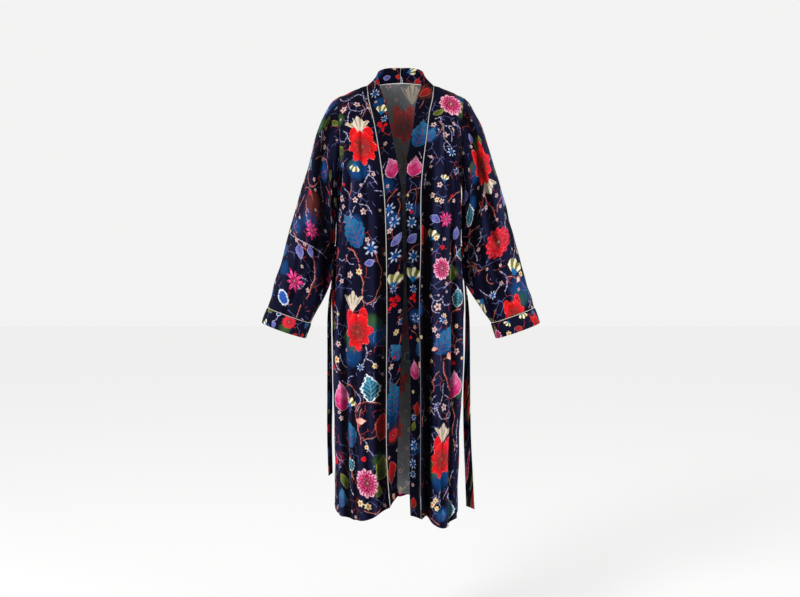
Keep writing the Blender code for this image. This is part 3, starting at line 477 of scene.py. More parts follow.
def sleevePoint(side, along, angle, creases=(), seed=0):
    ring = through(sleeve["rings"][side], along)[:, None, :]
    point = ringPoint(side, ring, angle[None])
    middle = (ringPoint(side, ring, 0 * angle[None]) + ringPoint(side, ring, 0 * angle[None] + 180)) / 2
    depth = np.zeros(point.shape[:2])
    for footAngle, footAlong, headAngle, headAlong, width, deep in (*sleeve["folds"][side], *creases):
        share = np.clip((along - headAlong) / (footAlong - headAlong), 0, 1)[:, None]
        centre = headAngle + (footAngle - headAngle) * share
        away = (angle[None] - centre + 180) % 360 - 180
        depth += deep * hump(away, width) * ease(4 * share) * ease(4 * (1 - share))
    if seed:
        turn = np.radians(angle)[None]
        u, v = 0.075 * np.cos(turn) + 0.3, along[:, None] * 0.6 + 0.05 * np.sin(turn)
        wave = uneven(u, v, seed, sleeve["waves"])
        depth += wave * (ease(along / 0.06) * ease((1 - along) / 0.06))[:, None]
    return point + unit(point - middle) * depth[..., None] + np.array((side * sleeve["off"], 0, 0))


def sleeveAngles(side):
    # once round from the underarm, by the back on the right side and the front on the left
    angle = np.linspace(180, 540, sleeve["round"], endpoint=False)
    return 720 - angle if side == left else angle


def sleevePiece(side):
    along = np.linspace(1, 0, sleeve["rows"])
    return {
        "name": "sleeve_" + sideName[side], "part": "sleeve" + sideName[side].title(),
        "nodes": [f"sleeve_{sideName[side]}_{part}" for part in ("upper", "elbow", "lower")],
        "points": sleevePoint(side, along, sleeveAngles(side), sleeve["creases"][side], sleeve["seed"] + side),
        "closed": True, "zeroRow": 0.5, "zeroColumn": 0.5,
        "thickness": cloth, "edges": edgeKinds("seam", "seam"),
        "cut": sleeve["cut"], "area": sleeve["area"],
    }


# edge says how far above the lower edge the rows of its rounding lie
cuff = {"depth": 0.043, "flare": 0.0015, "round": 0.39, "wave": 0.0007, "bulge": 0.0006,
        "edge": (0, 0.0006, 0.0013, 0.0022)}


def cuffRings(side, angle):
    seam = sleevePoint(side, np.array([1.0]), angle)[0]
    above = sleevePoint(side, np.array([0.96]), angle)[0]
    middle = seam.mean(0)
    last = np.array(sleeve["rings"][side][-1][1:])
    reach = ringPoint(side, last, np.array(0.0)) - ringPoint(side, last, np.array(180.0))
    along = unit(np.cross(reach, (0, 1, 0)))
    if along @ (middle - above.mean(0)) < 0:
        along = -along
    return middle, along, seam


def cuffPiece(side):
    angle = sleeveAngles(side)
    middle, along, seam = cuffRings(side, angle)
    turn = np.radians(angle)
    rows = []
    for share in np.concatenate((1 - np.array(cuff["edge"]) / cuff["depth"], np.linspace(0.9, 0, 9))):
        wave = cuff["wave"] * np.sin(3 * turn + 4 * share + side) * share * np.ones(len(angle))
        out = unit(seam - middle) * (cuff["flare"] + wave + cuff["bulge"] * math.sin(math.pi * share))[:, None]
        rows.append(seam + out + along * (2 * pipingRoom + cuff["depth"] * share))
    return {
        "name": "sleeveCuff_" + sideName[side], "part": "cuff", "nodes": ["cuff_" + sideName[side]],
        "points": np.array(rows), "closed": True, "faced": True, "zeroColumn": 0.5,
        "thickness": doubleCloth, "edges": edgeKinds("fold", "seam"),
        "cut": (cuff["round"], cuff["depth"]), "area": cuff["round"] * cuff["depth"],
    }


neckband = {
    "width": 0.045,
    # seam round the back of the neck: 1 at the shoulder seam, 2 at the centre back
    "neckSeam": (
        (1.0, 0.0934, 0.0, 0.0), (1.33, 0.081, 0.036, 0.006), (1.66, 0.048, 0.064, 0.017),
        (2.0, 0.0, 0.075, 0.0226), (2.34, -0.048, 0.064, 0.017),
    ),
    # up to the bust the band turns inwards by an angle
    "turn": {
        right: ((0.0, 62), (0.16, 48), (0.33, 35), (0.48, 20), (0.62, 6), (0.73, 4)),
        left: ((0.0, 50), (0.16, 52), (0.33, 54), (0.48, 44), (0.62, 32), (0.73, 26)),
    },
    # above it, the free edge's offset from the seam: towards the middle, back and up
    "edge": (
        (0.795, 0.0415, -0.005, 0.012), (0.86, 0.0365, -0.003, 0.023), (0.92, 0.036, 0.007, 0.03),
        (0.962, 0.033, 0.014, 0.033), (1.0, 0.029, 0.01, 0.034), (1.33, 0.02, 0.004, 0.046),
        (1.66, 0.009, 0.003, 0.0485), (2.0, 0.0, 0.004, 0.0464),
    ),
    # how far its middle stands proud, and how much higher its free corner hangs
    "roll": 0.0022,
    "footLift": {right: 0.020, left: 0.0},
    # ripples along it: waves and height
    "ripples": ((23, 1, 0.0009), (61, 2, 0.0004)),
    "cut": (0.045, 1.36),
    "area": 0.0595,
}


def seamPoint(side, past):
    # the band seam, from the hem at 0, by the shoulder seam at 1, to the centre back at 2
    past = np.asarray(past, float)
    front = plainFront(side, np.zeros(1), np.minimum(past, 1))[:, 0]
    return np.where((past <= 1)[:, None], front, mirrored(through(neckband["neckSeam"], past), side))


def bandOffset(side, past):
    width = neckband["width"]
    rows = [(rise, width * math.cos(math.radians(t)), width * math.sin(math.radians(t)), 0.002)
            for rise, t in neckband["turn"][side]]
    middle, back, up = np.moveaxis(through([*rows, *neckband["edge"]], past), -1, 0)
    up = up + neckband["footLift"][side] * (1 - ease(past / hemFade))
    return np.stack((-side * middle, back, up), -1)


def bandPoint(side, past, across):
    offset = bandOffset(side, past)
    step = 0.01
    ahead, behind = np.minimum(past + step, centreBack + 0.3), np.maximum(past - step, 0)
    outward = unit(np.cross(offset, seamPoint(side, ahead) - seamPoint(side, behind))) * side
    roll = neckband["roll"] * np.sin(np.pi * across)[None, :, None]
    return seamPoint(side, past)[:, None] + offset[:, None] * across[None, :, None] + outward[:, None] * roll


def bandPiece(side):
    foot = (0, 0.0005, 0.0011, 0.0019)
    past = np.concatenate((foot, np.linspace(0.004, 1, 250), np.linspace(1.0, 2.0, 46)[1:]))
    points = respaced(bandPoint(side, past, np.linspace(0, 1, 12)), pipingRoom + 0.0004, 0, drawing["step"])
    ripple = sum(np.sin(past * waves + lag * side) * height for waves, lag, height in neckband["ripples"])
    ripple = ripple * ease(past / 0.05) * ease((1.1 - past) / 0.2)
    inward = unit(np.cross(points[:, -1] - points[:, 0], np.gradient(points[:, 0], axis=0)))
    bow = np.sin(np.linspace(0, 1, points.shape[1]) * np.pi)[None, :, None]
    points = points + inward[:, None] * ripple[:, None, None] * bow
    points[-1] += (side * seamGap, 0, 0)
    sides = ("seam", "fold")[::-side]
    return {
        "name": "neckband_" + sideName[side], "part": "band" + sideName[side].title(),
        "nodes": [f"neckband_{sideName[side]}_{part}" for part in ("skirt", "waist", "chest", "neck")],
        "points": points[:, ::-side], "outward": (0, -1, 0), "zeroColumn": 0 if side == right else 1,
        "thickness": doubleCloth, "edges": edgeKinds("fold", "seam", *sides), "faced": True,
        "cut": neckband["cut"], "area": neckband["area"],
    }


belt = {
    "width": 0.042,
    "length": 1.96,
    "waist": -0.47,
    # middle line below each loop: height, out from the middle, to the front, turn in degrees
    "hang": {
        right: (
            (-0.555, 0.1895, 0.04, 0), (-0.6, 0.195, 0.039, 4), (-0.65, 0.1975, 0.036, 8),
            (-0.74, 0.1975, 0.03, 10), (-0.86, 0.197, 0.024, 14), (-0.98, 0.198, 0.02, 12),
            (-1.085, 0.1955, 0.018, 10),
        ),
        left: (
            (-0.555, 0.179, 0.04, 0), (-0.6, 0.1835, 0.037, 5), (-0.65, 0.186, 0.032, 10),
            (-0.74, 0.1865, 0.026, 14), (-0.86, 0.185, 0.02, 22), (-0.98, 0.187, 0.014, 24),
            (-1.09, 0.192, 0.01, 26), (-1.18, 0.196, 0.006, 28),
        ),
    },
    # where it goes round the bend above the loop, and where it lies round the back
    "bend": 0.036,
    "bendShares": (0.12, 0.36, 0.6, 0.84),
    "backShares": (0.97, 0.90, 0.80, 0.68, 0.54, 0.38, 0.20),
    "backClearance": 0.009,
    "sideClearance": 0.0018,
}


def offBody(side, share, height, spare):
    # a place over the back's cloth, from the centre back at 0 to the side at 1
    heights = [(row[3][2], row[0]) for row in frontPanel["rows"] if row[3]]
    rise = through(heights, [belt["waist"] + height])[..., 0]
    ahead, behind = (plainBack(np.array([side * s]), rise)[0, 0] for s in (min(share + 0.02, 1), share - 0.02))
    out = unit(np.cross(ahead - behind, (0, 0, side)))
    base = backPoint(np.array([side * share]), rise)[0, 0]
    if out @ (base[0], base[1] + 0.02, 0) < 0:
        out = -out
    return base + out * spare


def alongStrap(rows, line, places):
    # a strap's rows drawn smoothly at places along it. places takes its length
    rows = np.array(rows)
    reach = stepLengths(rows, 0)[:, line]
    columns = range(rows.shape[1])
    return np.stack([through(np.column_stack((reach, rows[:, k])), places(reach[-1])) for k in columns], 1)


def beltPiece():
    # from the right end, up through its loop, round the back of the waist and down again
    halves = []
    wide, bend = belt["width"], belt["bend"]
    for side in (right, left):
        rows = []

        def across(middle, half):
            rows.append([middle - half, middle, middle + half])

        for z, out, ahead, degrees in reversed(belt["hang"][side]):
            turn = math.radians(degrees)
            half = np.array((side * math.sin(turn), -math.cos(turn), 0)) * wide / 2
            across(np.array((side * out, -ahead, z)), half)
        sideX = abs(offBody(side, 0.99, 0, belt["sideClearance"] + doubleCloth)[0])
        hub = np.array((side * sideX, -0.006, belt["waist"] - bend))
        for share in belt["bendShares"]:
            turn = share * math.pi / 2
            outwards = np.array((0, -math.cos(turn), math.sin(turn)))
            across(hub + outwards * bend + np.array((side * 0.003 * (1 - share), 0, 0)), outwards * wide / 2)
        for share in belt["backShares"]:
            slack = ease((0.95 - share) / 0.3)
            near, far = belt["sideClearance"], belt["backClearance"]
            spare = doubleCloth + near + (far - near) * slack
            rows.append([offBody(side, share, h, spare) for h in (-wide / 2, 0, wide / 2)])
        halves.append(rows)
    rows = halves[0] + [[(a + b) / 2 for a, b in zip(halves[0][-1], halves[1][-1])]] + halves[1][::-1]
    ends = np.array((0, 0.0005, 0.0012, 0.0022))
    points = alongStrap(rows, 1, lambda reach: np.concatenate(
        (ends, np.linspace(0.006, reach - 0.006, 320), reach - ends[::-1])))
    return {
        "name": "beltStrap", "part": "belt", "nodes": ["belt"],
        "points": respaced(points, 0, 0, 0.0052), "outward": (0, 1, 0), "zeroColumn": 0.5,
        "thickness": doubleCloth, "edges": edgeKinds("fold", "fold", "fold", "fold"), "faced": True,
        "cut": (wide, belt["length"]), "area": wide * belt["length"],
    }


beltLoop = {
    "width": 0.010,
    "strap": 0.0015,
    "length": 0.072,
    # half of the outer face: height from the waist, and distance from the side seam
    "profile": ((-0.034, 0.0020), (-0.029, 0.0034), (-0.0245, 0.0072), (0.0, 0.0078)),
}


def loopPiece(side):
    profile = beltLoop["profile"]
    rows = []
    for height, stand in profile + tuple((-height, stand) for height, stand in profile[-2::-1]):
        base = offBody(side, 0.99, height, 0)
        base[1] = -0.001
        half = beltLoop["width"] / 2
        rows.append([base + np.array((side * stand, y, 0)) for y in (-half, half)])
    points = alongStrap(rows, 0, lambda reach: np.linspace(0, reach, 44))
    return {
        "name": "beltLoop_" + sideName[side], "part": "loop", "nodes": ["belt_loop_" + sideName[side]],
        "points": respaced(points, 0, 0, 0.0018)[:, ::side], "outward": (side, 0, 0), "zeroColumn": 0.5,
        "thickness": beltLoop["strap"], "edges": edgeKinds("seam", "seam", "fold", "fold"), "faced": True,
        "cut": (beltLoop["width"], beltLoop["length"]), "area": beltLoop["width"] * beltLoop["length"],
    }


# how the cloth rounds off at an edge. At a fold the radius is a share of its thickness, at a seam a length, and
# least is the share of the thickness left at the very edge. A turned-up hem is thicker
edging = {"fold": 0.62, "foldLeast": 0.12, "seam": 0.0026, "seamLeast": 0.42, "turnUp": 0.0011}


def roundedDepth(piece, distances):
    # the share of the thickness that is left at each point
    keep = np.ones_like(distances["low"])
    for edge, distance in distances.items():
        kind = piece["edges"][edge]
        radius = edging[kind] * (piece["thickness"] if kind == "fold" else 1)
        share = np.clip(distance / radius, 0, 1)
        keep = np.minimum(keep, np.maximum(np.sqrt(1 - (1 - share) ** 2), edging[kind + "Least"]))
    return keep


def clothSheet(piece):
    # the piece's points are rows up it, each running across. Returns the finished shell as an object, the flat
    # place of each face corner, and the points with their normals and flat places
    points, closed = piece["points"], piece.get("closed", False)
    rowCount, wide = points.shape[:2]
    ringed = np.concatenate((points, points[:, :1]), 1) if closed else points
    flatWide = ringed.shape[1]
    across, up = stepLengths(ringed, 1), stepLengths(ringed, 0)
    middle = int(piece["zeroColumn"] * (flatWide - 1))
    level = int(piece.get("zeroRow", 0) * (rowCount - 1))
    flat = np.stack((across - across[:, middle : middle + 1], up - up[level : level + 1]), -1)

    if closed:
        over = np.roll(points, -1, 1) - np.roll(points, 1, 1)
    else:
        padded = np.concatenate((points[:, :1], points, points[:, -1:]), 1)
        over = padded[:, 2:] - padded[:, :-2]
    padded = np.concatenate((points[:1], points, points[-1:]), 0)
    normals = unit(np.cross(over, padded[2:] - padded[:-2]))
    probe = rowCount // 2, wide // 4 if closed else wide // 2
    outward = points[probe] - points[probe[0]].mean(0) if closed else np.array(piece["outward"])
    turned = float(normals[probe] @ outward) < 0
    if turned:
        normals = -normals

    distances = {"low": up[:, :wide], "high": (up[-1:] - up)[:, :wide]}
    if not closed:
        distances.update({"start": across[:, :wide], "end": (across[:, -1:] - across)[:, :wide]})
    keep = roundedDepth(piece, distances)
    deep = np.full((rowCount, wide), piece["thickness"])
    turnUp = piece.get("turnUp", 0)
    if turnUp:
        deep = deep + edging["turnUp"] * ease((turnUp + 0.001 - distances["low"]) / 0.002)
    outer = points - normals * ((1 - keep) * deep / 2)[..., None]
    inner = points - normals * ((1 + keep) * deep / 2)[..., None]

    # faces as corner numbers, with a second set into the flat cloth, which doesn't close up
    span = wide if closed else wide - 1
    j, i = (k.ravel() for k in np.meshgrid(np.arange(rowCount - 1), np.arange(span), indexing="ij"))
    corners = ((j, i), (j, i + 1), (j + 1, i + 1), (j + 1, i))
    faceOuter = np.stack([a * wide + b % wide for a, b in corners], -1)
    faceFlat = np.stack([a * flatWide + b for a, b in corners], -1)
    count = rowCount * wide
    rims, rimFlats = [], []

    def rim(a, b):
        (va, fa), (vb, fb) = ((row * wide + k % wide, row * flatWide + k) for row, k in (a, b))
        rims.append(np.stack((vb, va, va + count, vb + count), -1))
        rimFlats.append(np.stack((fb, fa, fa, fb), -1))

    i, j = np.arange(span), np.arange(rowCount - 1)
    rim((0 * i, i), (0 * i, i + 1))
    rim((0 * i + rowCount - 1, i + 1), (0 * i + rowCount - 1, i))
    if not closed:
        rim((j + 1, 0 * j), (j, 0 * j))
        rim((j, 0 * j + wide - 1), (j + 1, 0 * j + wide - 1))
    rims, rimFlats = np.concatenate(rims), np.concatenate(rimFlats)
    faces = np.concatenate((faceOuter, faceOuter[:, ::-1] + count, rims))
    flats = np.concatenate((faceFlat, faceFlat[:, ::-1], rimFlats))
    if turned:
        faces, flats = faces[:, ::-1], flats[:, ::-1]
    inside = np.repeat((0, 1, 0), (len(faceOuter), len(faceOuter), len(rims)))
    if turnUp:
        low = distances["low"].ravel()[faceOuter].mean(1) < turnUp
        inside[len(faceOuter) : 2 * len(faceOuter)][low] = 0
    if piece.get("faced"):
        inside[:] = 0

    mesh = bpy.data.meshes.new(piece["name"])
    mesh.from_pydata(np.concatenate((outer.reshape(-1, 3), inner.reshape(-1, 3))).tolist(), [], faces.tolist())
    mesh.polygons.foreach_set("material_index", inside.astype(np.int32))
    mesh.shade_smooth()
    cornerFlat = flat.reshape(-1, 2)[flats]
    mesh.uv_layers.new(name="cloth").data.foreach_set("uv", cornerFlat.reshape(-1).astype(np.float32))
    made = bpy.data.objects.new(piece["name"], mesh)
    scene.collection.objects.link(made)
    grid = {"points": points.reshape(-1, 3), "normals": normals.reshape(-1, 3)}
    grid["flat"] = flat[:, :wide].reshape(-1, 2)
    return made, cornerFlat, grid


def spotOn(grid, x, z, front=True):
    # the flat place of the point that shows at x, z, in millimetres, from the front or from the back
    facing = grid["normals"][:, 1] < 0.25 if front else grid["normals"][:, 1] > -0.25
    away = (grid["points"][:, 0] - x / 1000) ** 2 + (grid["points"][:, 2] - z / 1000) ** 2
    return grid["flat"][int(np.argmin(away + np.where(facing, 0, 9)))]


# the print: garden flowers close together on navy. Millimetres across and up as seen from the front, then the
# radius and the turn in degrees. A branch or twig has its thickness, start, end and bend. Painted shadows in the
# pile's colour, and painted light on ridges where the depth is below nought, have start, end, half width and
# depth
layout = {
    "frontRight": {
        "blooms": (("peony", -104, -179, 46, 0), ("peony", -114, -673, 46, 6), ("frill", -89, -1089, 36, 0)),
        "leaves": (("crown", -113, -129, 30, 90), ("teal", -131, -414, 50, 117),
         ("crown", -128, -606, 30, 86), ("edged", -84, -833, 37, 98), ("redBud", -46, -935, 38, 80),
         ("teal", -137, -960, 36, 100), ("magentaBud", -158, -860, 40, 95), ("fan", -135, -873, 17, 60),
         ("lavender", -82, -499, 15, 20), ("olive", -162, -196, 18, 100), ("olive", -50, -1047, 34, 75),
         ("olive", -150, -1093, 22, 110), ("olive", -58, -1109, 18, 70), ("teal", -160, -1138, 26, 80),
         ("fan", -126, -245, 15, 250), ("cream", -103, -923, 15, 0)),
        "buds": (("blossom", -119, -63, 11), ("blossom", -155, -81, 11), ("blossom", -159, -326, 10),
         ("blossom", -156, -346, 8), ("blossom", -122, -334, 9), ("blossom", -109, -320, 7),
         ("blossom", -97, -366, 10), ("blueStar", -77, -464, 22), ("blossom", -137, -531, 11),
         ("yellow", -109, -524, 10), ("blossom", -159, -549, 8), ("yellow", -69, -773, 9),
         ("blueStar", -108, -777, 11), ("yellow", -106, -1143, 11), ("yellow", -87, -1150, 11),
         ("red", -96, -1024, 8), ("blossom", -160, -922, 8), ("blossom", -166, -906, 6),
         ("yellow", -89, -991, 7), ("blossom", -87, -439, 8), ("yellow", -146, -123, 6),
         ("blossom", -170, -717, 9), ("red", -153, -289, 6), ("yellow", -170, -638, 5),
         ("blossom", -107, -292, 5)),
        "branches": ((4.5, -130, -287, -139, -331, 0.05), (6, -142, -459, -111, -499, 0.15),
         (6, -111, -499, -101, -594, 0.05), (6, -101, -594, -96, -619, 0.05),
         (5, -72, -469, -51, -544, 0.1), (5, -51, -544, -89, -615, 0.15), (7, -54, -879, -100, -873, -0.1),
         (7, -100, -873, -117, -912, -0.2), (7, -117, -912, -104, -983, 0.05),
         (5, -105, -978, -37, -958, 0.05), (6, -145, -972, -133, -1039, 0.05),
         (6, -133, -1039, -114, -1100, -0.1), (5, -152, -839, -121, -860, 0.4),
         (5, -98, -1159, -52, -1155, -0.2), (4, -95, -53, -79, -109, 0.05)),
        "twigs": ((2.4, -166, -46, -132, -43, -0.4), (2.4, -132, -43, -95, -45, 0.4),
         (2.2, -142, -57, -118, -87, -0.25), (2.2, -118, -87, -94, -60, -0.25),
         (2.4, -85, -239, -107, -295, 0.15), (2.2, -86, -255, -67, -258, 0.05),
         (2.2, -86, -266, -62, -293, 0.05), (2.2, -107, -344, -74, -374, 0.2),
         (2.2, -147, -479, -126, -503, -0.3), (2.4, -94, -721, -108, -778, 0.15),
         (2.2, -91, -756, -69, -772, 0.05), (2.2, -92, -744, -78, -735, 0.05),
         (2.2, -185, -598, -172, -677, 0.3), (2.2, -162, -748, -145, -781, -0.2),
         (2.2, -139, -1064, -125, -1126, -0.1), (2, -177, -125, -163, -175, -0.05)),
        "glows": (("green", -75, -661, 26), ("blue", -64, -694, 30), ("blue", -131, -748, 34),
         ("green", -129, -723, 18), ("green", -145, -698, 14), ("green", -162, -212, 22),
         ("blue", -166, -239, 26), ("blue", -115, -250, 30), ("green", -128, -239, 14),
         ("blue", -177, -947, 34), ("red", -168, -1030, 22), ("blue", -127, -399, 30),
         ("green", -52, -1030, 26), ("green", -172, -114, 20)),
        "shadows": ((-50, -279, -49, -1079, 9, 0.6), (-158, -560, -161, -866, 5, -0.8),
         (-127, -282, -158, -446, 5, -0.8), (-177, -222, -177, -547, 15, 0.85),
         (-113, -600, -110, -1132, 8, 0.3), (-140, -560, -142, -946, 4, -0.5),
         (-179, -573, -182, -1132, 6, 0.5)),
    },
    "frontLeft": {
        "blooms": (("frill", 138, -64, 37, 20), ("star", 123, -384, 23, 0), ("frill", 110, -515, 28, 0),
         ("peony", 112, -1015, 45, -6)),
        "leaves": (("teal", 81, -153, 22, 70), ("olive", 106, -88, 18, 25), ("lavender", 91, -386, 17, 150),
         ("fan", 88, -429, 18, 60), ("olive", 138, -529, 24, 85), ("redBud", 60, -429, 26, 90),
         ("teal", 118, -708, 44, 55), ("magentaBud", 141, -828, 38, 88), ("crown", 113, -958, 28, 86),
         ("edged", 155, -594, 26, 90), ("edged", 130, -1167, 26, 80), ("cream", 89, -731, 10, 200),
         ("cream", 132, -749, 12, 300), ("fan", 119, -274, 12, 80), ("olive", 185, -75, 24, 110),
         ("lavender", 149, -421, 18, 80), ("teal", 112, -1176, 16, 90)),
        "buds": (("blossom", 91, -125, 9), ("blossom", 121, -154, 9), ("blueStar", 138, -202, 15),
         ("blueStar", 151, -251, 13), ("blossom", 106, -292, 9), ("blossom", 83, -320, 9),
         ("blossom", 109, -338, 9), ("yellow", 96, -331, 8), ("red", 138, -321, 5),
         ("blossom", 143, -331, 7), ("red", 111, -458, 7), ("yellow", 93, -436, 8),
         ("blossom", 98, -617, 12), ("yellow", 116, -642, 9), ("blueStar", 112, -652, 13),
         ("blossom", 120, -659, 8), ("blossom", 152, -737, 10), ("blossom", 90, -677, 9),
         ("blossom", 98, -694, 7), ("blueStar", 77, -807, 9), ("blossom", 79, -895, 11),
         ("blossom", 116, -885, 12), ("yellow", 91, -1132, 9), ("yellow", 84, -1146, 10),
         ("yellow", 98, -1155, 8), ("blossom", 137, -881, 7), ("red", 143, -769, 7),
         ("yellow", 152, -672, 7)),
        "branches": ((5, 127, -336, 167, -269, 0.05), (4, 136, -439, 138, -489, -0.1),
         (7, 162, -625, 136, -652, -0.2), (7, 136, -652, 144, -713, 0.05), (7, 144, -713, 114, -760, 0.1),
         (7, 114, -760, 134, -846, -0.1), (5, 166, -708, 154, -740, -0.45), (4, 139, -864, 139, -964, 0.05),
         (5, 60, -1172, 102, -1197, 0.05)),
        "twigs": ((2.6, 109, -103, 140, -130, -0.5), (2.6, 140, -130, 163, -155, 0.5),
         (2.4, 116, -131, 136, -191, -0.15), (2.2, 140, -130, 142, -158, 0.05),
         (2.2, 109, -103, 94, -109, 0.05), (2.2, 78, -399, 101, -379, -0.1),
         (2.6, 81, -586, 114, -590, -0.45), (2.6, 114, -590, 131, -611, -0.5),
         (2.2, 91, -602, 106, -636, -0.45), (2.2, 113, -569, 158, -594, 0.45),
         (2.4, 116, -821, 113, -852, -0.1), (2.4, 113, -852, 76, -860, 0.45),
         (2.2, 113, -852, 127, -862, 0.05), (2.2, 94, -873, 134, -906, -0.35),
         (2.4, 143, -1064, 135, -1109, -0.15), (2.2, 133, -1084, 114, -1130, -0.1),
         (2.2, 68, -1084, 77, -1118, 0.05), (2.2, 156, -927, 147, -1010, 0.05),
         (2, 72, -215, 77, -237, 0.5)),
        "glows": (("blue", 118, -710, 36), ("blue", 106, -1078, 34), ("green", 91, -1057, 18),
         ("green", 85, -1035, 14), ("green", 185, -81, 34), ("blue", 170, -59, 30), ("blue", 80, -153, 24),
         ("red", 60, -429, 16), ("blue", 110, -1172, 22), ("red", 73, -1176, 22), ("green", 162, -839, 30),
         ("blue", 35, -623, 20), ("green", 138, -529, 22)),
        "shadows": ((65, -308, 68, -680, 12, 0.85), (70, -680, 78, -1172, 19, 0.93),
         (164, -194, 166, -534, 12, 0.85), (137, -813, 137, -1132, 4, -0.25),
         (108, -136, 137, -600, 6, -0.5), (166, -600, 169, -1132, 5, 0.4), (94, -919, 97, -1158, 7, 0.35)),
    },
    "sleeveRight": {
        "blooms": (("star", -240, -410, 25, 0), ("star", -288, -548, 29, 15)),
        "leaves": (("lavender", -270, -468, 19, 285), ("lavender", -242, -471, 15, 300),
         ("olive", -201, -113, 18, 90), ("olive", -176, -118, 16, 10), ("redBud", -187, -425, 22, 80),
         ("olive", -191, -261, 14, 280)),
        "buds": (("blossom", -204, -133, 7), ("blossom", -208, -159, 8), ("blossom", -205, -184, 8),
         ("red", -242, -310, 6), ("red", -195, -310, 6), ("disc", -318, -594, 19),
         ("blossom", -250, -576, 7), ("red", -222, -274, 5), ("blossom", -282, -438, 6),
         ("blossom", -258, -450, 6)),
        "branches": ((4, -227, -215, -197, -252, 0.3), (5, -250, -241, -217, -266, -0.5),
         (5, -259, -317, -281, -363, -0.05), (6.5, -291, -415, -240, -474, -0.1),
         (6.5, -240, -474, -233, -527, 0.1), (6.5, -233, -527, -257, -599, 0.05),
         (3, -258, -292, -237, -338, 0.3), (3, -189, -379, -212, -476, 0.1)),
        "twigs": ((2.2, -217, -138, -217, -200, 0.1), (2.2, -201, -486, -199, -589, -0.1),
         (2, -273, -538, -250, -548, 0.05)),
        "glows": (("blue", -207, -251, 26), ("blue", -286, -399, 26), ("blue", -319, -512, 22),
         ("brown", -232, -343, 34), ("green", -217, -123, 22), ("blue", -247, -384, 22)),
        "shadows": ((-195, -110, -208, -559, 24, 0.92), (-225, -192, -241, -491, 6, 0.3),
         (-274, -464, -314, -627, 7, 0.35), (-284, -328, -342, -573, 6, -0.4)),
    },
    "sleeveLeft": {
        "blooms": (("peony", 219, -228, 46, 14), ("carnation", 265, -443, 42, 0),
         ("peony", 306, -633, 34, 0)),
        "leaves": (("crown", 237, -286, 28, -78), ("edged", 188, -369, 30, 92), ("fan", 311, -507, 27, 60),
         ("cream", 183, -456, 15, 20), ("olive", 216, -169, 16, 80), ("lavender", 190, -161, 14, 80),
         ("cream", 321, -543, 12, 200)),
        "buds": (("blossom", 190, -184, 6), ("red", 242, -338, 5), ("blossom", 226, -315, 7),
         ("blossom", 262, -315, 7), ("blossom", 231, -351, 7), ("blossom", 270, -346, 6),
         ("red", 180, -445, 5), ("blossom", 171, -450, 8), ("blueStar", 249, -586, 12),
         ("blossom", 270, -555, 7), ("yellow", 329, -527, 9)),
        "branches": ((4.5, 226, -315, 266, -392, 0.05), (4.5, 275, -320, 261, -363, -0.2),
         (4.5, 211, -400, 166, -426, 0.05), (5, 166, -484, 207, -499, -0.15),
         (5, 207, -499, 189, -555, -0.1), (3.5, 193, -502, 231, -511, -0.2), (4, 290, -538, 341, -568, 0.1)),
        "twigs": ((2.4, 270, -522, 282, -578, 0.25), (2.2, 218, -573, 270, -555, -0.3),
         (2.2, 193, -287, 188, -312, 0.05)),
        "glows": (("blue", 331, -568, 40), ("green", 326, -594, 22), ("blue", 201, -261, 24),
         ("green", 195, -241, 14), ("blue", 193, -343, 22), ("green", 208, -179, 20)),
        "shadows": ((178, -105, 192, -532, 22, 0.9), (200, -97, 208, -301, 5, -0.7),
         (235, -437, 298, -627, 7, 0.35), (284, -328, 339, -573, 6, -0.4), (227, -464, 263, -668, 9, 0.5)),
    },
    "bandRight": {
        "blooms": (("carnation", -19, -961, 18, 0),),
        "leaves": (("fan", -49, -81, 20, 60), ("magentaBud", -23, -245, 28, 95),
         ("lavender", -12, -441, 19, 40), ("fan", -16, -544, 24, 70), ("teal", -14, -740, 28, 115),
         ("teal", -21, -865, 46, 95), ("redBud", -23, -1061, 30, 90), ("teal", -23, 32, 20, 80),
         ("redBud", 35, 32, 22, 110), ("cream", -19, -1127, 12, 120)),
        "buds": (("blueStar", -70, -28, 19), ("blueStar", -43, -109, 12), ("redDouble", -48, -136, 15),
         ("red", -58, -125, 8), ("blueStar", -29, -358, 18), ("blueStar", -18, -393, 17),
         ("blossom", -29, -418, 9), ("blueStar", -14, -484, 19), ("blueStar", -17, -571, 12),
         ("redDouble", -19, -599, 15), ("redDouble", -23, -615, 15), ("red", -6, -601, 8),
         ("blueStar", 0, -657, 10), ("yellow", -13, -688, 9), ("blossom", -25, -777, 9),
         ("red", -17, -752, 5), ("red", -1, -784, 6), ("red", -19, -598, 7)),
        "branches": ((4, -7, -308, -34, -341, -0.1), (3.6, -7, -333, -17, -398, 0.15),
         (4, 2, -690, -10, -732, 0.05), (4, -2, -811, -25, -840, 0.05), (3.5, -28, -47, -20, -81, 0.05)),
        "twigs": ((2, -62, -277, -42, -234, 0.15), (2, -31, -790, -31, -832, 0.15)),
        "glows": (("blue", -18, 38, 24), ("blue", -59, -59, 20), ("blue", -37, -298, 22),
         ("blue", -19, -898, 40), ("brown", -15, -961, 24), ("red", -23, -1061, 20),
         ("blue", -22, -388, 22)),
        "shadows": ((-5, -307, -5, -1133, 5, 0.6), (-25, -333, -25, -1133, 4, -0.3)),
    },
    "bandLeft": {
        "leaves": (("redBud", 69, -25, 22, 60), ("teal", 54, -153, 44, 82),
         ("magentaBud", 35, -245, 28, 85), ("lavender", 33, -434, 19, 35), ("fan", 36, -531, 24, 80),
         ("teal", 49, -728, 26, 70), ("magentaBud", 38, -787, 26, 90), ("redBud", 44, -892, 20, 80),
         ("olive", 36, -940, 14, 70), ("redBud", 35, -1146, 16, 80), ("cream", 54, -775, 12, 300)),
        "buds": (("blueStar", 21, -348, 15), ("blueStar", 32, -391, 17), ("blueStar", 34, -484, 19),
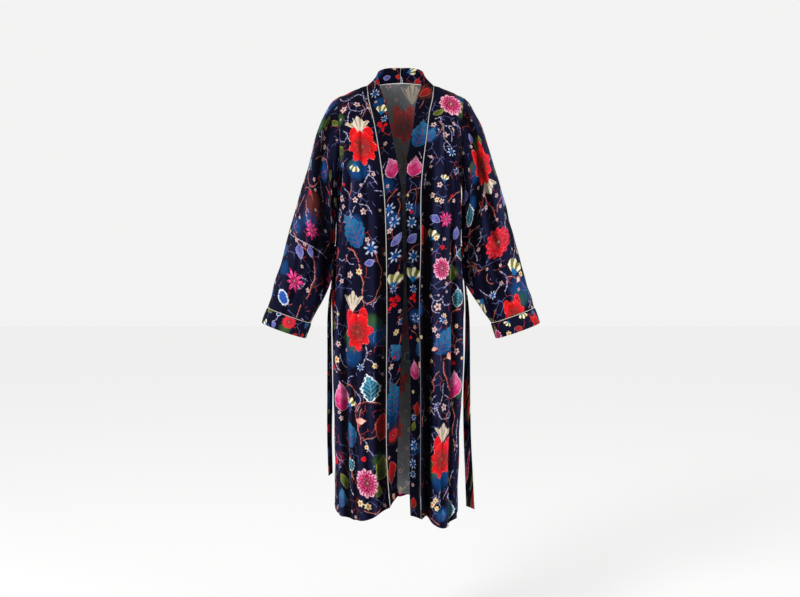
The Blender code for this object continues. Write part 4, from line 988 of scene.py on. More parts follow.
         ("blueStar", 34, -569, 13), ("redDouble", 34, -596, 14), ("red", 35, -590, 9),
         ("blueStar", 40, -648, 14), ("yellow", 46, -707, 7), ("red", 29, -698, 5),
         ("blueStar", 35, -916, 10), ("blueStar", 36, -990, 16), ("blueStar", 35, -1040, 15),
         ("blueStar", 34, -1067, 12), ("red", 29, -363, 6), ("blossom", 39, -673, 7)),
        "branches": ((4, 16, -323, 54, -301, 0.15), (3.6, 43, -308, 36, -373, 0.05),
         (4, 23, -466, 48, -448, 0.05), (4, 31, -682, 49, -711, 0.15), (4, 66, -53, 50, -75, 0.05),
         (3, 46, -807, 52, -832, 0.05)),
        "twigs": ((2, 52, -957, 46, -973, 0.05), (2, 49, -202, 53, -223, 0.05)),
        "glows": (("red", 46, 35, 24), ("blue", 55, -153, 26), ("brown", 66, -25, 30),
         ("blue", 43, -358, 20), ("blue", 39, -644, 22), ("blue", 39, -994, 20)),
        "shadows": ((9, -307, 9, -1133, 4, 0.35), (44, -307, 44, -1133, 6, 0.7)),
    },
    "belt": {
        "blooms": (("carnation", 183, -947, 26, 0), ("carnation", -200, -956, 14, 0),
         ("star", 183, -684, 14, 0)),
        "leaves": (("cream", 181, -883, 14, 80), ("olive", 181, -1017, 18, 85),
         ("teal", 186, -1104, 22, 80), ("olive", -197, -740, 18, 80), ("teal", -200, -866, 20, 95),
         ("teal", -200, -1020, 16, 90)),
        "buds": (("blossom", 186, -1160, 8), ("blueStar", 183, -774, 10), ("red", -200, -802, 6),
         ("blossom", -197, -684, 7)),
        "twigs": ((2, 181, -796, 181, -866, 0.05),),
        "glows": (("green", 181, -1017, 24), ("blue", -200, -880, 26), ("blue", 186, -1118, 22)),
    },
    "back": {
        "blooms": (("peony", 10, -81, 44, 0), ("star", 10, -687, 30, 0)),
        "leaves": (("crown", 33, -6, 34, 90), ("lavender", -7, -426, 30, 60)),
        "buds": (("blossom", -7, -209, 10),),
        "branches": ((5, 4, -165, 7, -354, -0.05),),
    },
}


def tone(*colour):
    # a linear colour from 0 to 255 values
    shares = (value / 255 for value in colour)
    return tuple(s / 12.92 if s <= 0.04045 else ((s + 0.055) / 1.055) ** 2.4 for s in shares)


# colours of the print, and of each kind of motif, numbered by its place in its list
inks = {
    "ground": tone(9, 8, 26), "brown": tone(92, 40, 32), "coral": tone(186, 66, 48),
    "lavender": tone(108, 112, 168), "cream": tone(206, 190, 172), "green": tone(52, 84, 36),
    "blue": tone(10, 60, 112), "red": tone(90, 10, 18),
}
# main colour, rim colour, line colour; rounding, lobe depth, lobes, rings, wave of the rings
blooms = {
    "peony": (tone(206, 16, 20), tone(222, 34, 32), tone(120, 8, 14), 0.92, 0.12, 8, 2.2, 0.12),
    "frill": (tone(172, 14, 82), tone(232, 176, 196), tone(92, 8, 44), 0.88, 0.06, 11, 3.0, 0.26),
    "star": (tone(196, 30, 104), tone(226, 90, 150), tone(88, 8, 50), 0.68, 0.26, 9, 1.2, 0.30),
    "carnation": (tone(196, 20, 36), tone(216, 60, 66), tone(104, 8, 18), 0.88, 0.07, 13, 2.8, 0.30),
}
# main, far end, rim, veins; half width, taper, rim width, saw edge
leaves = {
    "teal": (tone(16, 108, 150), tone(10, 72, 122),
             tone(40, 130, 160), tone(112, 60, 84), 0.40, 0.30, 0.03, 0.045),
    "edged": (tone(24, 110, 140), tone(20, 70, 90),
              tone(222, 232, 232), tone(120, 170, 180), 0.48, 0.20, 0.12, 0.06),
    "lavender": (tone(128, 130, 196), tone(90, 90, 160),
                 tone(176, 176, 220), tone(30, 30, 80), 0.40, 0.10, 0.06, 0.02),
    "olive": (tone(112, 116, 44), tone(60, 84, 40),
              tone(176, 170, 84), tone(52, 60, 24), 0.36, 0.10, 0.05, 0.03),
    "redBud": (tone(190, 24, 26), tone(120, 34, 30),
               tone(200, 110, 96), tone(150, 16, 20), 0.42, -0.10, 0.05, 0.03),
    "magentaBud": (tone(220, 120, 165), tone(184, 28, 92),
                   tone(226, 168, 188), tone(200, 60, 124), 0.48, 0.50, 0.07, 0.03),
    "cream": (tone(236, 220, 206), tone(210, 150, 130),
              tone(196, 90, 66), tone(200, 120, 100), 0.40, 0.30, 0.10, 0.06),
    "crown": (tone(208, 194, 170), tone(206, 188, 160), tone(208, 194, 170), tone(104, 92, 44), 0, 0, 0, 0),
    "fan": (tone(120, 118, 48), tone(20, 96, 150), tone(236, 226, 196), tone(60, 62, 30), 0, 0, 0, 0),
}
# petals, middle, gaps; rounding, lobe depth, lobes, middle's radius
buds = {
    "blossom": (tone(206, 178, 172), tone(96, 34, 44), tone(150, 92, 100), 0.76, 0.16, 5, 0.26),
    "blueStar": (tone(170, 184, 214), tone(20, 76, 140), tone(44, 92, 150), 0.54, 0.40, 7, 0.46),
    "yellow": (tone(212, 194, 140), tone(196, 96, 40), tone(236, 226, 210), 0.78, 0.18, 6, 0.34),
    "red": (tone(206, 26, 30), tone(170, 14, 20), tone(150, 10, 16), 0.86, 0.10, 3, 0.30),
    "disc": (tone(222, 228, 240), tone(34, 74, 150), tone(190, 200, 224), 0.94, 0.02, 16, 0.76),
    "redDouble": (tone(212, 22, 26), tone(120, 12, 16), tone(90, 8, 14), 0.62, 0.34, 3, 0.12),
}
# how strongly painted shade darkens the troughs of folds and painted light lifts their ridges: reach in columns
# of points, and the height in metres that counts as one
shading = {"reach": 5, "height": 0.0020, "ridge": 0.40, "trough": 1.0, "least": 0.22, "most": 1.9}
# half widths of a line of thickness 1 in metres, and how far from its middle a line is drawn
lineHalf = {"branches": 0.00034, "twigs": 0.0004}
lineReach = {"branches": 0.013, "twigs": 0.009}
# distances in metres and numbers for the cloth that the layout leaves bare, and how likely each kind is there
spread = {
    "cell": 0.01, "narrow": 0.06, "facing": -0.30, "tries": 900, "fullArea": 0.3,
    "bloomGap": 0.104 * 0.45, "narrowBloomGap": 0.104 * 0.55, "bloomRadius": (0.033, 0.041),
    "bloomKinds": ("peony", "frill", "star", "carnation", "peony"), "besideBloom": ("crown", "teal", "olive"),
    "bloomGlows": ("blue", "green", "blue"),
    "leafGap": 0.010, "leafRadius": (0.017, 0.034),
    "leafKinds": ("teal", "edged", "lavender", "olive", "olive", "redBud", "fan"),
    "budGap": 0.007, "budRadius": (0.006, 0.013), "twiggedBuds": 0.4,
    "budKinds": ("blossom", "blossom", "blossom", "yellow", "red", "blueStar", "disc"),
    "frontBuds": 0.12, "frontBudGap": 0.008, "frontBudRadius": (0.004, 0.0065), "frontTwigs": 70,
    "frontLines": (("twigs", 0.0009), ("twigs", 0.0009), ("branches", 0.0013)), "frontLineGap": 0.004,
}


def nearestMotifs(cornerFlat, motifs, kinds):
    # for each face the nearest motif, as places inside it at the face's corners, with the kind's number
    centres = cornerFlat.mean(1)
    best = np.full(len(centres), 1.0)
    stored = np.full((*cornerFlat.shape[:2], 3), 9.0)
    stored[..., 2] = 0
    for kind, u, v, radius, turn in motifs:
        far = np.hypot(centres[:, 0] - u, centres[:, 1] - v) / (radius * 1.3 + 0.0035)
        mine = far < best
        best[mine] = far[mine]
        angle = math.radians(turn)
        moved = (cornerFlat[mine] - (u, v)) / radius
        stored[mine, :, 0] = moved[..., 0] * math.cos(angle) + moved[..., 1] * math.sin(angle)
        stored[mine, :, 1] = moved[..., 1] * math.cos(angle) - moved[..., 0] * math.sin(angle)
        stored[mine, :, 2] = list(kinds).index(kind) + 1
    return stored


def nearestLines(cornerFlat, lines, reach):
    # for each face the nearest line: distance to it in half widths, place along it and its length
    centres = cornerFlat.mean(1)
    best = np.full(len(centres), reach)
    stored = np.zeros((*cornerFlat.shape[:2], 3))
    stored[..., 0] = 99
    for half, path in lines:
        low, high = path.min(0) - reach, path.max(0) + reach
        close = np.flatnonzero(((centres > low) & (centres < high)).all(1))
        if not len(close):
            continue
        far = np.linalg.norm(centres[close, None] - path[None], axis=2).min(1)
        close, far = close[far < best[close]], far[far < best[close]]
        best[close] = far
        step = np.diff(path, axis=0)
        length = np.linalg.norm(step, axis=1)
        ahead = step / length[:, None]
        start = np.concatenate(((0,), np.cumsum(length)))
        to = cornerFlat[close][:, :, None] - path[:-1]
        along = (to * ahead).sum(-1)
        side = ahead[:, 0] * to[..., 1] - ahead[:, 1] * to[..., 0]
        over = np.maximum(0, np.maximum(-along, along - length))
        nearest = np.hypot(over, side).argmin(-1)[..., None]
        along, side = (np.take_along_axis(a, nearest, -1)[..., 0] for a in (along, side))
        nearest = nearest[..., 0]
        inside = np.where((nearest > 0) & (along < 0), 0, along)
        inside = np.where((nearest < len(length) - 1) & (along > length[nearest]), length[nearest], inside)
        stored[close, :, 0] = side / half
        stored[close, :, 1] = start[nearest] + inside
        stored[close, :, 2] = start[-1]
    return stored


def arc(half, start, end, bend):
    # a branch drawn between two places, with a little wave of its own
    start, end = np.array(start), np.array(end)
    reach = np.linalg.norm(end - start)
    share = np.linspace(0, 1, max(4, int(reach / 0.005)))[:, None]
    aside = np.array((start[1] - end[1], end[0] - start[0]))
    wave = 0.035 * np.sin(share * math.pi * 3 + reach * 90) * np.sin(share * math.pi)
    return half, start + (end - start) * share + aside * (bend * 4 * share * (1 - share) + wave)


def printedOn(grid, part, seed):
    # all motifs and lines of one piece: first the layout's, then the scattered ones
    rng = random.Random(seed)
    front = part != "back"
    found = {"blooms": [], "leaves": [], "buds": []}
    lines = {"branches": [], "twigs": []}
    rows = layout.get(part, {})
    for layer, motifs in found.items():
        for kind, x, z, radius, *turn in rows.get(layer, ()):
            turn = turn[0] if turn else rng.uniform(0, 360)
            motifs.append((kind, *spotOn(grid, x, z, front), radius / 1000, turn))
    for layer, arcs in lines.items():
        for half, x0, z0, x1, z1, bend in rows.get(layer, ()):
            ends = (spotOn(grid, x, z, front) for x, z in ((x0, z0), (x1, z1)))
            arcs.append(arc(half * lineHalf[layer], *ends, bend))
    glows = [(ink, *spotOn(grid, x, z, front), radius / 1000) for ink, x, z, radius in rows.get("glows", ())]

    flat, cell = grid["flat"], spread["cell"]
    low, high = flat.min(0), flat.max(0)
    narrow = min(high - low) < spread["narrow"]
    cells = {}
    for at, (u, v) in enumerate(flat):
        cells.setdefault((int(u // cell), int(v // cell)), at)

    def room(u, v):
        # how far a place lies from every motif, or nothing off the cloth
        if (int(u // cell), int(v // cell)) not in cells:
            return -1
        motifs = (motif for group in found.values() for motif in group)
        return min((math.hypot(u - m[1], v - m[2]) - m[3] for m in motifs), default=1)

    def hidden(u, v):
        at = cells[(int(u // cell), int(v // cell))]
        return part not in layout or not front or grid["normals"][at, 1] > spread["facing"]

    def anywhere():
        return rng.uniform(low[0], high[0]), rng.uniform(low[1], high[1])

    def thrown(count, gap, sizes, kinds, layer, everywhere=False):
        for _ in range(int(count)):
            (u, v), radius = anywhere(), rng.uniform(*sizes)
            if room(u, v) > radius + gap and (everywhere or hidden(u, v)):
                found[layer].append((rng.choice(kinds), u, v, radius, rng.uniform(0, 360)))
                yield found[layer][-1]

    def line(layer, half, start, end, bend):
        lines[layer].append(arc(half, start, end, rng.uniform(-bend, bend)))

    strip = 0.5 if part == "belt" else 1
    tries = int(spread["tries"] * min(1, (high - low).prod() / spread["fullArea"]) ** 0.5 * strip)
    size = 0.5 if narrow else 1
    bloomSizes, leafSizes = ([s * size for s in spread[key]] for key in ("bloomRadius", "leafRadius"))
    gap = spread["narrowBloomGap" if narrow else "bloomGap"]
    bloomTries = 0 if part.startswith("band") else tries
    for kind, u, v, radius, _ in thrown(bloomTries, gap, bloomSizes, spread["bloomKinds"], "blooms"):
        found["blooms"][-1] = (kind, u, v, radius, rng.uniform(-25, 25))
        leaf, leafU = rng.choice(spread["besideBloom"]), u + rng.uniform(-0.2, 0.2) * radius
        found["leaves"].append((leaf, leafU, v + radius * 1.2, radius * 0.62, rng.uniform(75, 105)))
        glow = rng.choice(spread["bloomGlows"])
        glows.append((glow, u + rng.uniform(-1, 1) * radius, v - radius, radius * 0.8))
        if not narrow:
            foot = (u + rng.uniform(-0.05, 0.05), v - radius - rng.uniform(0.06, 0.11))
            line("branches", 0.0019, (u, v - radius * 0.9), foot, 0.3)
            line("twigs", 0.0009, (u + radius, v), (u + radius + 0.04, v - rng.uniform(0.02, 0.06)), 0.4)
    list(thrown(tries * 2, spread["leafGap"], leafSizes, spread["leafKinds"], "leaves"))
    for _, u, v, *_ in thrown(tries * 3, spread["budGap"], spread["budRadius"], spread["budKinds"], "buds"):
        if rng.random() < spread["twiggedBuds"]:
            line("twigs", 0.0009, (u, v), (u + rng.uniform(-0.03, 0.03), v - rng.uniform(0.02, 0.05)), 0.4)
    if part in layout and front:
        count, kinds = tries * spread["frontBuds"], spread["budKinds"][:4]
        list(thrown(count, spread["frontBudGap"], spread["frontBudRadius"], kinds, "buds", True))
        for _ in range(0 if narrow else spread["frontTwigs"]):
            u, v = anywhere()
            if room(u, v) > spread["frontLineGap"]:
                layer, half = rng.choice(spread["frontLines"])
                end = (u + rng.uniform(-0.03, 0.03), v - rng.uniform(0.02, 0.06))
                line(layer, half, (u, v), end, 0.35)
                fork = (end[0] + rng.uniform(-0.03, 0.03), end[1] + 0.012)
                lines["twigs"].append(arc(0.0008, ((u + end[0]) / 2, (v + end[1]) / 2), fork, 0.2))
    return found, lines, glows


def store(mesh, name, kind, domain, values):
    field = "color" if kind == "FLOAT_COLOR" else "vector" if kind == "FLOAT_VECTOR" else "value"
    mesh.attributes.new(name, kind, domain).data.foreach_set(field, values.ravel().astype(np.float32))


def setShade(obj, grid, part, wide):
    # painted shade and light of the folds: ridges are painted lighter and troughs darker. The inner side stays
    # plain
    reach = shading["reach"]
    points, normals = (grid[key].reshape(-1, wide, 3) for key in ("points", "normals"))
    if part.startswith("sleeve"):
        padded = np.pad(points, ((0, 0), (reach, reach), (0, 0)), "wrap")
    else:
        padded = np.pad(points, ((0, 0), (reach, reach), (0, 0)), "reflect", reflect_type="odd")
    around = np.stack([padded[:, k : k + wide] for k in range(2 * reach + 1)]).mean(0)
    relief = ((points - around) * normals).sum(-1).ravel() / shading["height"]
    shade = 1 + np.where(relief > 0, relief * shading["ridge"], relief * shading["trough"])
    shade = np.clip(shade, shading["least"], shading["most"])
    flat = grid["flat"]
    # painted shadows along the layout's lines, and painted light on ridges where a depth is below nought
    for x0, z0, x1, z1, width, depth in layout.get(part, {}).get("shadows", ()):
        start, end = (spotOn(grid, x, z) for x, z in ((x0, z0), (x1, z1)))
        step = end - start
        share = np.clip(((flat - start) @ step) / (step @ step), 0, 1)
        away = np.linalg.norm(flat - start - share[:, None] * step, axis=1) / (width / 1000)
        shade = shade * (1 - depth * np.exp(-(away**2)))
    store(obj.data, "shade", "FLOAT", "POINT", np.concatenate((shade, np.ones(len(shade)))))


def setPrint(obj, cornerFlat, grid, part, seed):
    found, lines, glows = printedOn(grid, part, seed)
    layers = {}
    for name, group, kinds in (("bloom", "blooms", blooms), ("leaf", "leaves", leaves), ("bud", "buds", buds)):
        layers[name] = nearestMotifs(cornerFlat, found[group], kinds)
    for name, group in (("branch", "branches"), ("twig", "twigs")):
        layers[name] = nearestLines(cornerFlat, lines[group], lineReach[group])
    for name, stored in layers.items():
        store(obj.data, name, "FLOAT_VECTOR", "CORNER", stored)
    glow = np.zeros((*cornerFlat.shape[:2], 4))
    for ink, u, v, radius in glows:
        away = (cornerFlat[..., 0] - u) ** 2 + (cornerFlat[..., 1] - v) ** 2
        weight = np.exp(-away / (radius * 0.85) ** 2)
        glow[..., :3] += weight[..., None] * inks[ink]
        glow[..., 3] += weight
    glow[..., :3] /= np.maximum(glow[..., 3:], 0.001)
    glow[..., 3] = np.minimum(glow[..., 3], 1)
    store(obj.data, "glow", "FLOAT_COLOR", "CORNER", glow)
    print(obj.name, {layer: len(group) for layer, group in (found | lines).items()})


class Amount:
    # a value in a node tree, so that formulas can be written as such
    def __init__(self, tree, socket):
        self.tree, self.socket = tree, socket

    def of(self, operation, *others, clamp=False):
        node = self.tree.nodes.new("ShaderNodeMath")
        node.operation, node.use_clamp = operation, clamp
        for slot, value in zip(node.inputs, (self, *others)):
            if isinstance(value, Amount):
                self.tree.links.new(value.socket, slot)
            else:
                slot.default_value = value
        return Amount(self.tree, node.outputs[0])

    def wave(self, count):
        # cosine of so many times the angle
        return (self * count).of("COSINE")

    def round(self, other):
        # distance from nought, with a second value
        return (self * self + other * other).of("SQRT")

    def edge(self, width=0.04):
        # 1 above nought and 0 below, over a soft width
        return self.of("MULTIPLY_ADD", 1 / width, 0.5, clamp=True)

    def __abs__(self):
        return self.of("ABSOLUTE")


for method, operation in (("add", "ADD"), ("sub", "SUBTRACT"), ("mul", "MULTIPLY"), ("truediv", "DIVIDE")):
    setattr(Amount, f"__{method}__", lambda self, other, operation=operation: self.of(operation, other))


def mixed(first, second, share):
    # one colour laid over another. Colours are sockets or plain values
    tree = share.tree
    node = tree.nodes.new("ShaderNodeMix")
    node.data_type = "RGBA"
    tree.links.new(share.socket, node.inputs[0])
    for slot, value in ((node.inputs[6], first), (node.inputs[7], second)):
        if isinstance(value, tuple):
            slot.default_value = (*value, 1)
        else:
            tree.links.new(value, slot)
    return node.outputs[2]


def picked(kind, table, column, numberColumn=None):
    # the colour, and a number from 0 to 1, that the table holds for the kind
    node = kind.tree.nodes.new("ShaderNodeValToRGB")
    node.color_ramp.interpolation = "CONSTANT"
    kind.tree.links.new((kind * 0.1).socket, node.inputs[0])
    points = node.color_ramp.elements
    for number, row in enumerate(table.values()):
        point = points[0] if number == 0 else points.new((number + 0.5) / 10)
        point.position = 0 if number == 0 else (number + 0.5) / 10
        point.color = (*row[column], row[numberColumn] if numberColumn else 1)
    points.remove(points[len(points) - 1]) if len(points) > len(table) else None
    return node.outputs["Color"], Amount(kind.tree, node.outputs["Alpha"])


def numbers(kind, table, columns, scale=1):
    # three numbers from 0 to 1 at once
    rows = {name: (tuple(row[c] / s + o for c, s, o in columns),) for name, row in table.items()}
    colour, _ = picked(kind, rows, 0)
    split = kind.tree.nodes.new("ShaderNodeSeparateColor")
    kind.tree.links.new(colour, split.inputs[0])
    return [(Amount(kind.tree, out) - o) * s for out, (c, s, o) in zip(split.outputs, columns)]


# sizes of the print's own unevenness: how many to a metre
grain = {"wobble": 230, "patch": 60, "warp": 34, "warpBy": 0.022, "net": 40, "netBreaks": 24, "netHue": 13}


def printGroup():
    # the whole print as one node group: its colour, and how much of a motif shows
    tree = bpy.data.node_groups.new("gardenPrint", "ShaderNodeTree")
    tree.interface.new_socket("Colour", in_out="OUTPUT", socket_type="NodeSocketColor")
    tree.interface.new_socket("Motif", in_out="OUTPUT", socket_type="NodeSocketFloat")
    nodes, links = tree.nodes, tree.links
    flat = nodes.new("ShaderNodeUVMap")
    flat.uv_map = "cloth"

    def noise(scale, detail=2.0):
        node = nodes.new("ShaderNodeTexNoise")
        node.inputs["Scale"].default_value = scale
        node.inputs["Detail"].default_value = detail
        links.new(flat.outputs["UV"], node.inputs["Vector"])
        return node

    def parts(socket):
        node = nodes.new("ShaderNodeSeparateXYZ")
        links.new(socket, node.inputs[0])
        return [Amount(tree, out) - 0.5 for out in node.outputs]

    wobbleX, wobbleY, wobbleZ = parts(noise(grain["wobble"]).outputs["Color"])
    patch = Amount(tree, noise(grain["patch"], 3).outputs["Fac"]) - 0.5

    def layer(name, wobble):
        node = nodes.new("ShaderNodeAttribute")
        node.attribute_name = name
        split = nodes.new("ShaderNodeSeparateXYZ")
        links.new(node.outputs["Vector"], split.inputs[0])
        x, y, third = (Amount(tree, out) for out in split.outputs)
        return x + wobbleX * wobble, y + wobbleY * wobble, third

    # ground, with soft glows of colour round the flowers
    glow = nodes.new("ShaderNodeAttribute")
    glow.attribute_name = "glow"
    alpha = Amount(tree, glow.outputs["Alpha"])
    shine = (alpha * 1.1 + patch * 0.9 + wobbleZ * 0.5) * alpha
    colour = mixed(inks["ground"], glow.outputs["Color"], shine.edge(1.2) * 0.9 * (shine - 0.08).edge(0.1))
    motif = shine * 0

    # a broken net of fine tendrils over the ground
    warped = nodes.new("ShaderNodeVectorMath")
    warped.operation = "MULTIPLY_ADD"
    links.new(noise(grain["warp"], 3).outputs["Color"], warped.inputs[0])
    warped.inputs[1].default_value = (grain["warpBy"], grain["warpBy"], 0)
    links.new(flat.outputs["UV"], warped.inputs[2])
    net = nodes.new("ShaderNodeTexVoronoi")
    net.voronoi_dimensions, net.feature = "2D", "DISTANCE_TO_EDGE"
    net.inputs["Scale"].default_value = grain["net"]
    links.new(warped.outputs[0], net.inputs["Vector"])
    broken = (Amount(tree, noise(grain["netBreaks"], 1).outputs["Fac"]) - 0.535).edge(0.03)
    tendril = (Amount(tree, net.outputs["Distance"]) * -1 + 0.022 + wobbleX * 0.03).edge(0.02) * broken * 0.7
    hue = (Amount(tree, noise(grain["netHue"], 0).outputs["Fac"]) - 0.52).edge(0.04)
    colour = mixed(colour, mixed(inks["lavender"], inks["coral"], hue), tendril)

    # thin twigs, then branches with knots and thorns
    across, along, length = layer("twig", 0)
    away = abs(across + wobbleX * 1.2)
    ends = (along + 0.001).edge(0.002) * (length - along).edge(0.002)
    nubs = abs((along * 90).of("FRACT") - 0.5)
    shown = (wobbleY * 0.6 + 1.0 - away + (nubs * -5 + 1).of("MAXIMUM", 0) * 1.6).edge(0.4) * ends
    pale = mixed(inks["lavender"], inks["cream"], (wobbleZ * 2 + patch).edge(0.3) * 0.6)
    colour = mixed(colour, pale, shown)
    motif = motif.of("MAXIMUM", shown)
    across, along, length = layer("branch", 0)
    away = abs(across + wobbleX * 0.9)
    ends = (along + 0.001).edge(0.002) * (length - along).edge(0.002)
    taper = (along / length.of("MAXIMUM", 0.001)) * -0.45 + 1.15
    thorn = abs((along * 46).of("FRACT") - 0.5) * -9 + 1
    thorn = thorn.of("MAXIMUM", 0) * 2.2 * ((along * 23).of("FRACT") - 0.5 + across * 0.2).edge(0.2)
    shown = (taper + wobbleY * 0.9 - away + thorn).edge(0.25) * ends
    bark = mixed(inks["coral"], inks["brown"], (across * 0.5 + wobbleZ + patch * 3).edge(0.6))
    lit = ((across + 0.55) * -1 + wobbleX).edge(0.3) * 0.55
    colour = mixed(colour, mixed(bark, inks["cream"], lit), shown)
    motif = motif.of("MAXIMUM", shown)

    # leaves and long buds: x runs to the tip
    x, y, kind = layer("leaf", 0.14)
    wide, taper, rim = numbers(kind, leaves, ((4, 1, 0), (5, 1, 0.4), (6, 1, 0)))
    main, saw = picked(kind, leaves, 0, 7)
    bent = y + (x * x * -1 + 1) * 0.14 - 0.05
    outline = wide * 1.5 * (x * x * -1 + 1) * (x * taper * -1 + 1)
    outline = outline + (x * 19 + wobbleX * 5).of("SINE") * saw + (x * 7 + 1).of("SINE") * saw * 0.8
    inside = outline - abs(bent)
    veins = abs((x * 3.2 - abs(bent) * 2.6).of("FRACT") - 0.5) * -1 + 0.10
    veins = veins.edge(0.08).of("MAXIMUM", (abs(bent) * -1 + 0.03).edge(0.03))
    body = mixed(main, picked(kind, leaves, 1)[0], (x * -0.8 + patch * 2 + 0.1).edge(0.8))
    body = mixed(body, picked(kind, leaves, 3)[0], veins * 0.62)
    rimmed = (rim + wobbleZ * 0.12 - inside).edge(0.05) * rim.of("MULTIPLY_ADD", 40, -0.8, clamp=True)
    body = mixed(body, picked(kind, leaves, 2)[0], rimmed)
    plain = (kind * -1 + 7.5).edge(0.1) * (kind - 0.5).edge(0.1)
    shown = inside.edge(0.05) * plain
    # the crown of a flower: ragged pale petals spread from a foot, with darker seams
    reach = (x + 0.95).round(y)
    spreadOut = y.of("ARCTAN2", x + 0.95)
    teeth = (spreadOut * 9.5).of("COSINE")
    crown = teeth * 0.20 + (spreadOut * 25 + wobbleX * 6).of("COSINE") * 0.06 + 1.72 - reach
    crown = crown.of("MINIMUM", (abs(spreadOut) * -1 + 0.62) * reach)
    seams = (abs(teeth * -1 + 0.1) * -1 + 0.42 + wobbleZ).edge(0.3) * (reach - 0.75 + wobbleY).edge(0.3)
    isCrown = kind.of("COMPARE", 8, 0.4)
    body = mixed(body, mixed(inks["cream"], picked(kind, leaves, 3)[0], seams * 0.75), isCrown)
    shown = shown + crown.edge(0.05) * isCrown
    # the fan: petals spread from a foot, pale between darker ones
    fan = (spreadOut.wave(12) * 0.12 + 1.65 - reach).of("MINIMUM", (abs(spreadOut) * -1 + 0.80) * 1.2)
    petals = (spreadOut * 9 + reach).of("SINE")
    isFan = kind.of("COMPARE", 9, 0.4)
    body = mixed(body, mixed(main, picked(kind, leaves, 2)[0], (petals + wobbleZ * 2 - 0.1).edge(0.5)), isFan)
    body = mixed(body, picked(kind, leaves, 1)[0], isFan * (reach * -1 + 0.75 + wobbleX).edge(0.2))
    shown = shown + fan.edge(0.05) * isFan
    colour = mixed(colour, body, shown)
    motif = motif.of("MAXIMUM", shown)

    # large flowers
    x, y, kind = layer("bloom", 0.15)
    isPeony, isFrill = kind.of("COMPARE", 1, 0.4), kind.of("COMPARE", 2, 0.4)
    y = y * ((isPeony + isFrill) * -0.15 + 1) + isPeony * 0.18
    reach, turn = x.round(y), y.of("ARCTAN2", x)
    rounding, lobeDepth, ringWave = numbers(kind, blooms, ((3, 1, 0), (4, 1, 0), (7, 1, 0)))
    lobes, rings, _ = numbers(kind, blooms, ((5, 20, 0), (6, 5, 0), (7, 1, 0)))
    ripple = (turn * lobes).of("COSINE")
    outline = rounding + ripple * lobeDepth - isPeony * 0.10 - reach
    outline = outline + (turn * 3 + 1).of("SINE") * lobeDepth * 0.4
    pair = ((abs(x) - 0.36 - y * 0.10) * 1.35).round((y - 0.66) * 0.8) * -1 + 0.40
    pair = pair + (isPeony - 1) * 9
    inside = outline.of("MAXIMUM", pair)
    ring = (reach * rings + ripple * ringWave + patch * 1.2).of("FRACT")
    main = picked(kind, blooms, 0)[0]
    body = mixed(main, picked(kind, blooms, 1)[0], (ring - 0.66).edge(0.3) * (isFrill * -0.75 + 1))
    line = picked(kind, blooms, 2)[0]
    creases = (ring * -1 + 0.10).edge(0.14) * 0.75
    streaks = (abs((turn * lobes * 0.5).of("SINE")) * reach * -1 + 0.035).edge(0.05)
    streaks = streaks * (reach - 0.22).edge(0.2)
    streaks = streaks.of("MAXIMUM", (abs(x) * -1 + 0.03).edge(0.05) * (y - 0.55).edge(0.1) * isPeony)
    body = mixed(body, line, creases.of("MAXIMUM", streaks * 0.8))
    frills = ((turn * 23 + wobbleX * 3).of("COSINE") * 0.30 + reach * 2.4 - 1.90 + wobbleZ * 1.8).edge(0.25)
    body = mixed(body, picked(kind, blooms, 1)[0], frills * isFrill)
    stamens = ((turn * 15 + wobbleY * 4).of("COSINE") * 0.5 + wobbleZ * 2 + 0.1).edge(0.5)
    heart = (reach * -1 + 0.26 + isPeony * 0.22 + wobbleZ * 0.9).edge(0.26)
    body = mixed(body, inks["brown"], heart * (stamens * 0.55 + 0.42))
    body = mixed(body, inks["cream"], (reach * -1 + 0.07 + wobbleX * 0.3).edge(0.06) * (isPeony * -0.6 + 0.7))
    rimmed = (abs(inside - 0.02) * -1 - 0.01 + wobbleY * 0.2).edge(0.03)
    body = mixed(body, inks["cream"], rimmed * isPeony * 0.7)
    shown = inside.edge(0.05) * (kind - 0.5).edge(0.1)
    colour = mixed(colour, body, shown)
    motif = motif.of("MAXIMUM", shown)

    # small flowers and dots
    x, y, kind = layer("bud", 0.5)
    reach, turn = x.round(y), y.of("ARCTAN2", x)
    rounding, lobeDepth, middle = numbers(kind, buds, ((3, 1, 0), (4, 1, 0), (6, 1, 0)))
    petals, lobes = picked(kind, {name: (row[0], row[5] / 20) for name, row in buds.items()}, 0, 1)
    ripple = (turn * lobes * 20).of("COSINE")
    inside = rounding + ripple * lobeDepth - reach
    body = mixed(petals, picked(kind, buds, 2)[0], (ripple * -0.5 - 0.25 + wobbleZ).edge(0.4) * 0.8)
    body = mixed(body, picked(kind, buds, 1)[0], (middle - reach + wobbleX * 0.5).edge(0.12))
    shown = inside.edge(0.12) * (kind - 0.5).edge(0.1)
    colour = mixed(colour, body, shown)
    motif = motif.of("MAXIMUM", shown)

    end = nodes.new("NodeGroupOutput")
    links.new(colour, end.inputs["Colour"])
    links.new(motif.socket, end.inputs["Motif"])
    return tree


printed = printGroup()
# how the velvet takes light, and how much of the print shows through on its wrong side
velvetLook = {
    "sockets": {"Roughness": 0.75, "Specular IOR Level": 0.03, "Sheen Weight": 0.02, "Sheen Roughness": 0.4,
                "Sheen Tint": (0.6, 0.65, 1.0, 1)},
    # a bluish painted highlight on ridges, and the most that the painted shade may lift the colour
    "paintedRidgeSheen": 0.10, "paintedSheenColour": tone(84, 94, 150), "mostShade": 1.15,
    "nap": 0.2, "napScale": 34, "napStretch": 0.35, "pileScale": 900, "bump": 0.12, "bumpDistance": 0.0006,
}
wrongLook = {"cloth": tone(112, 114, 116), "print": 0.64,
             "sockets": {"Roughness": 0.95, "Specular IOR Level": 0.1}}


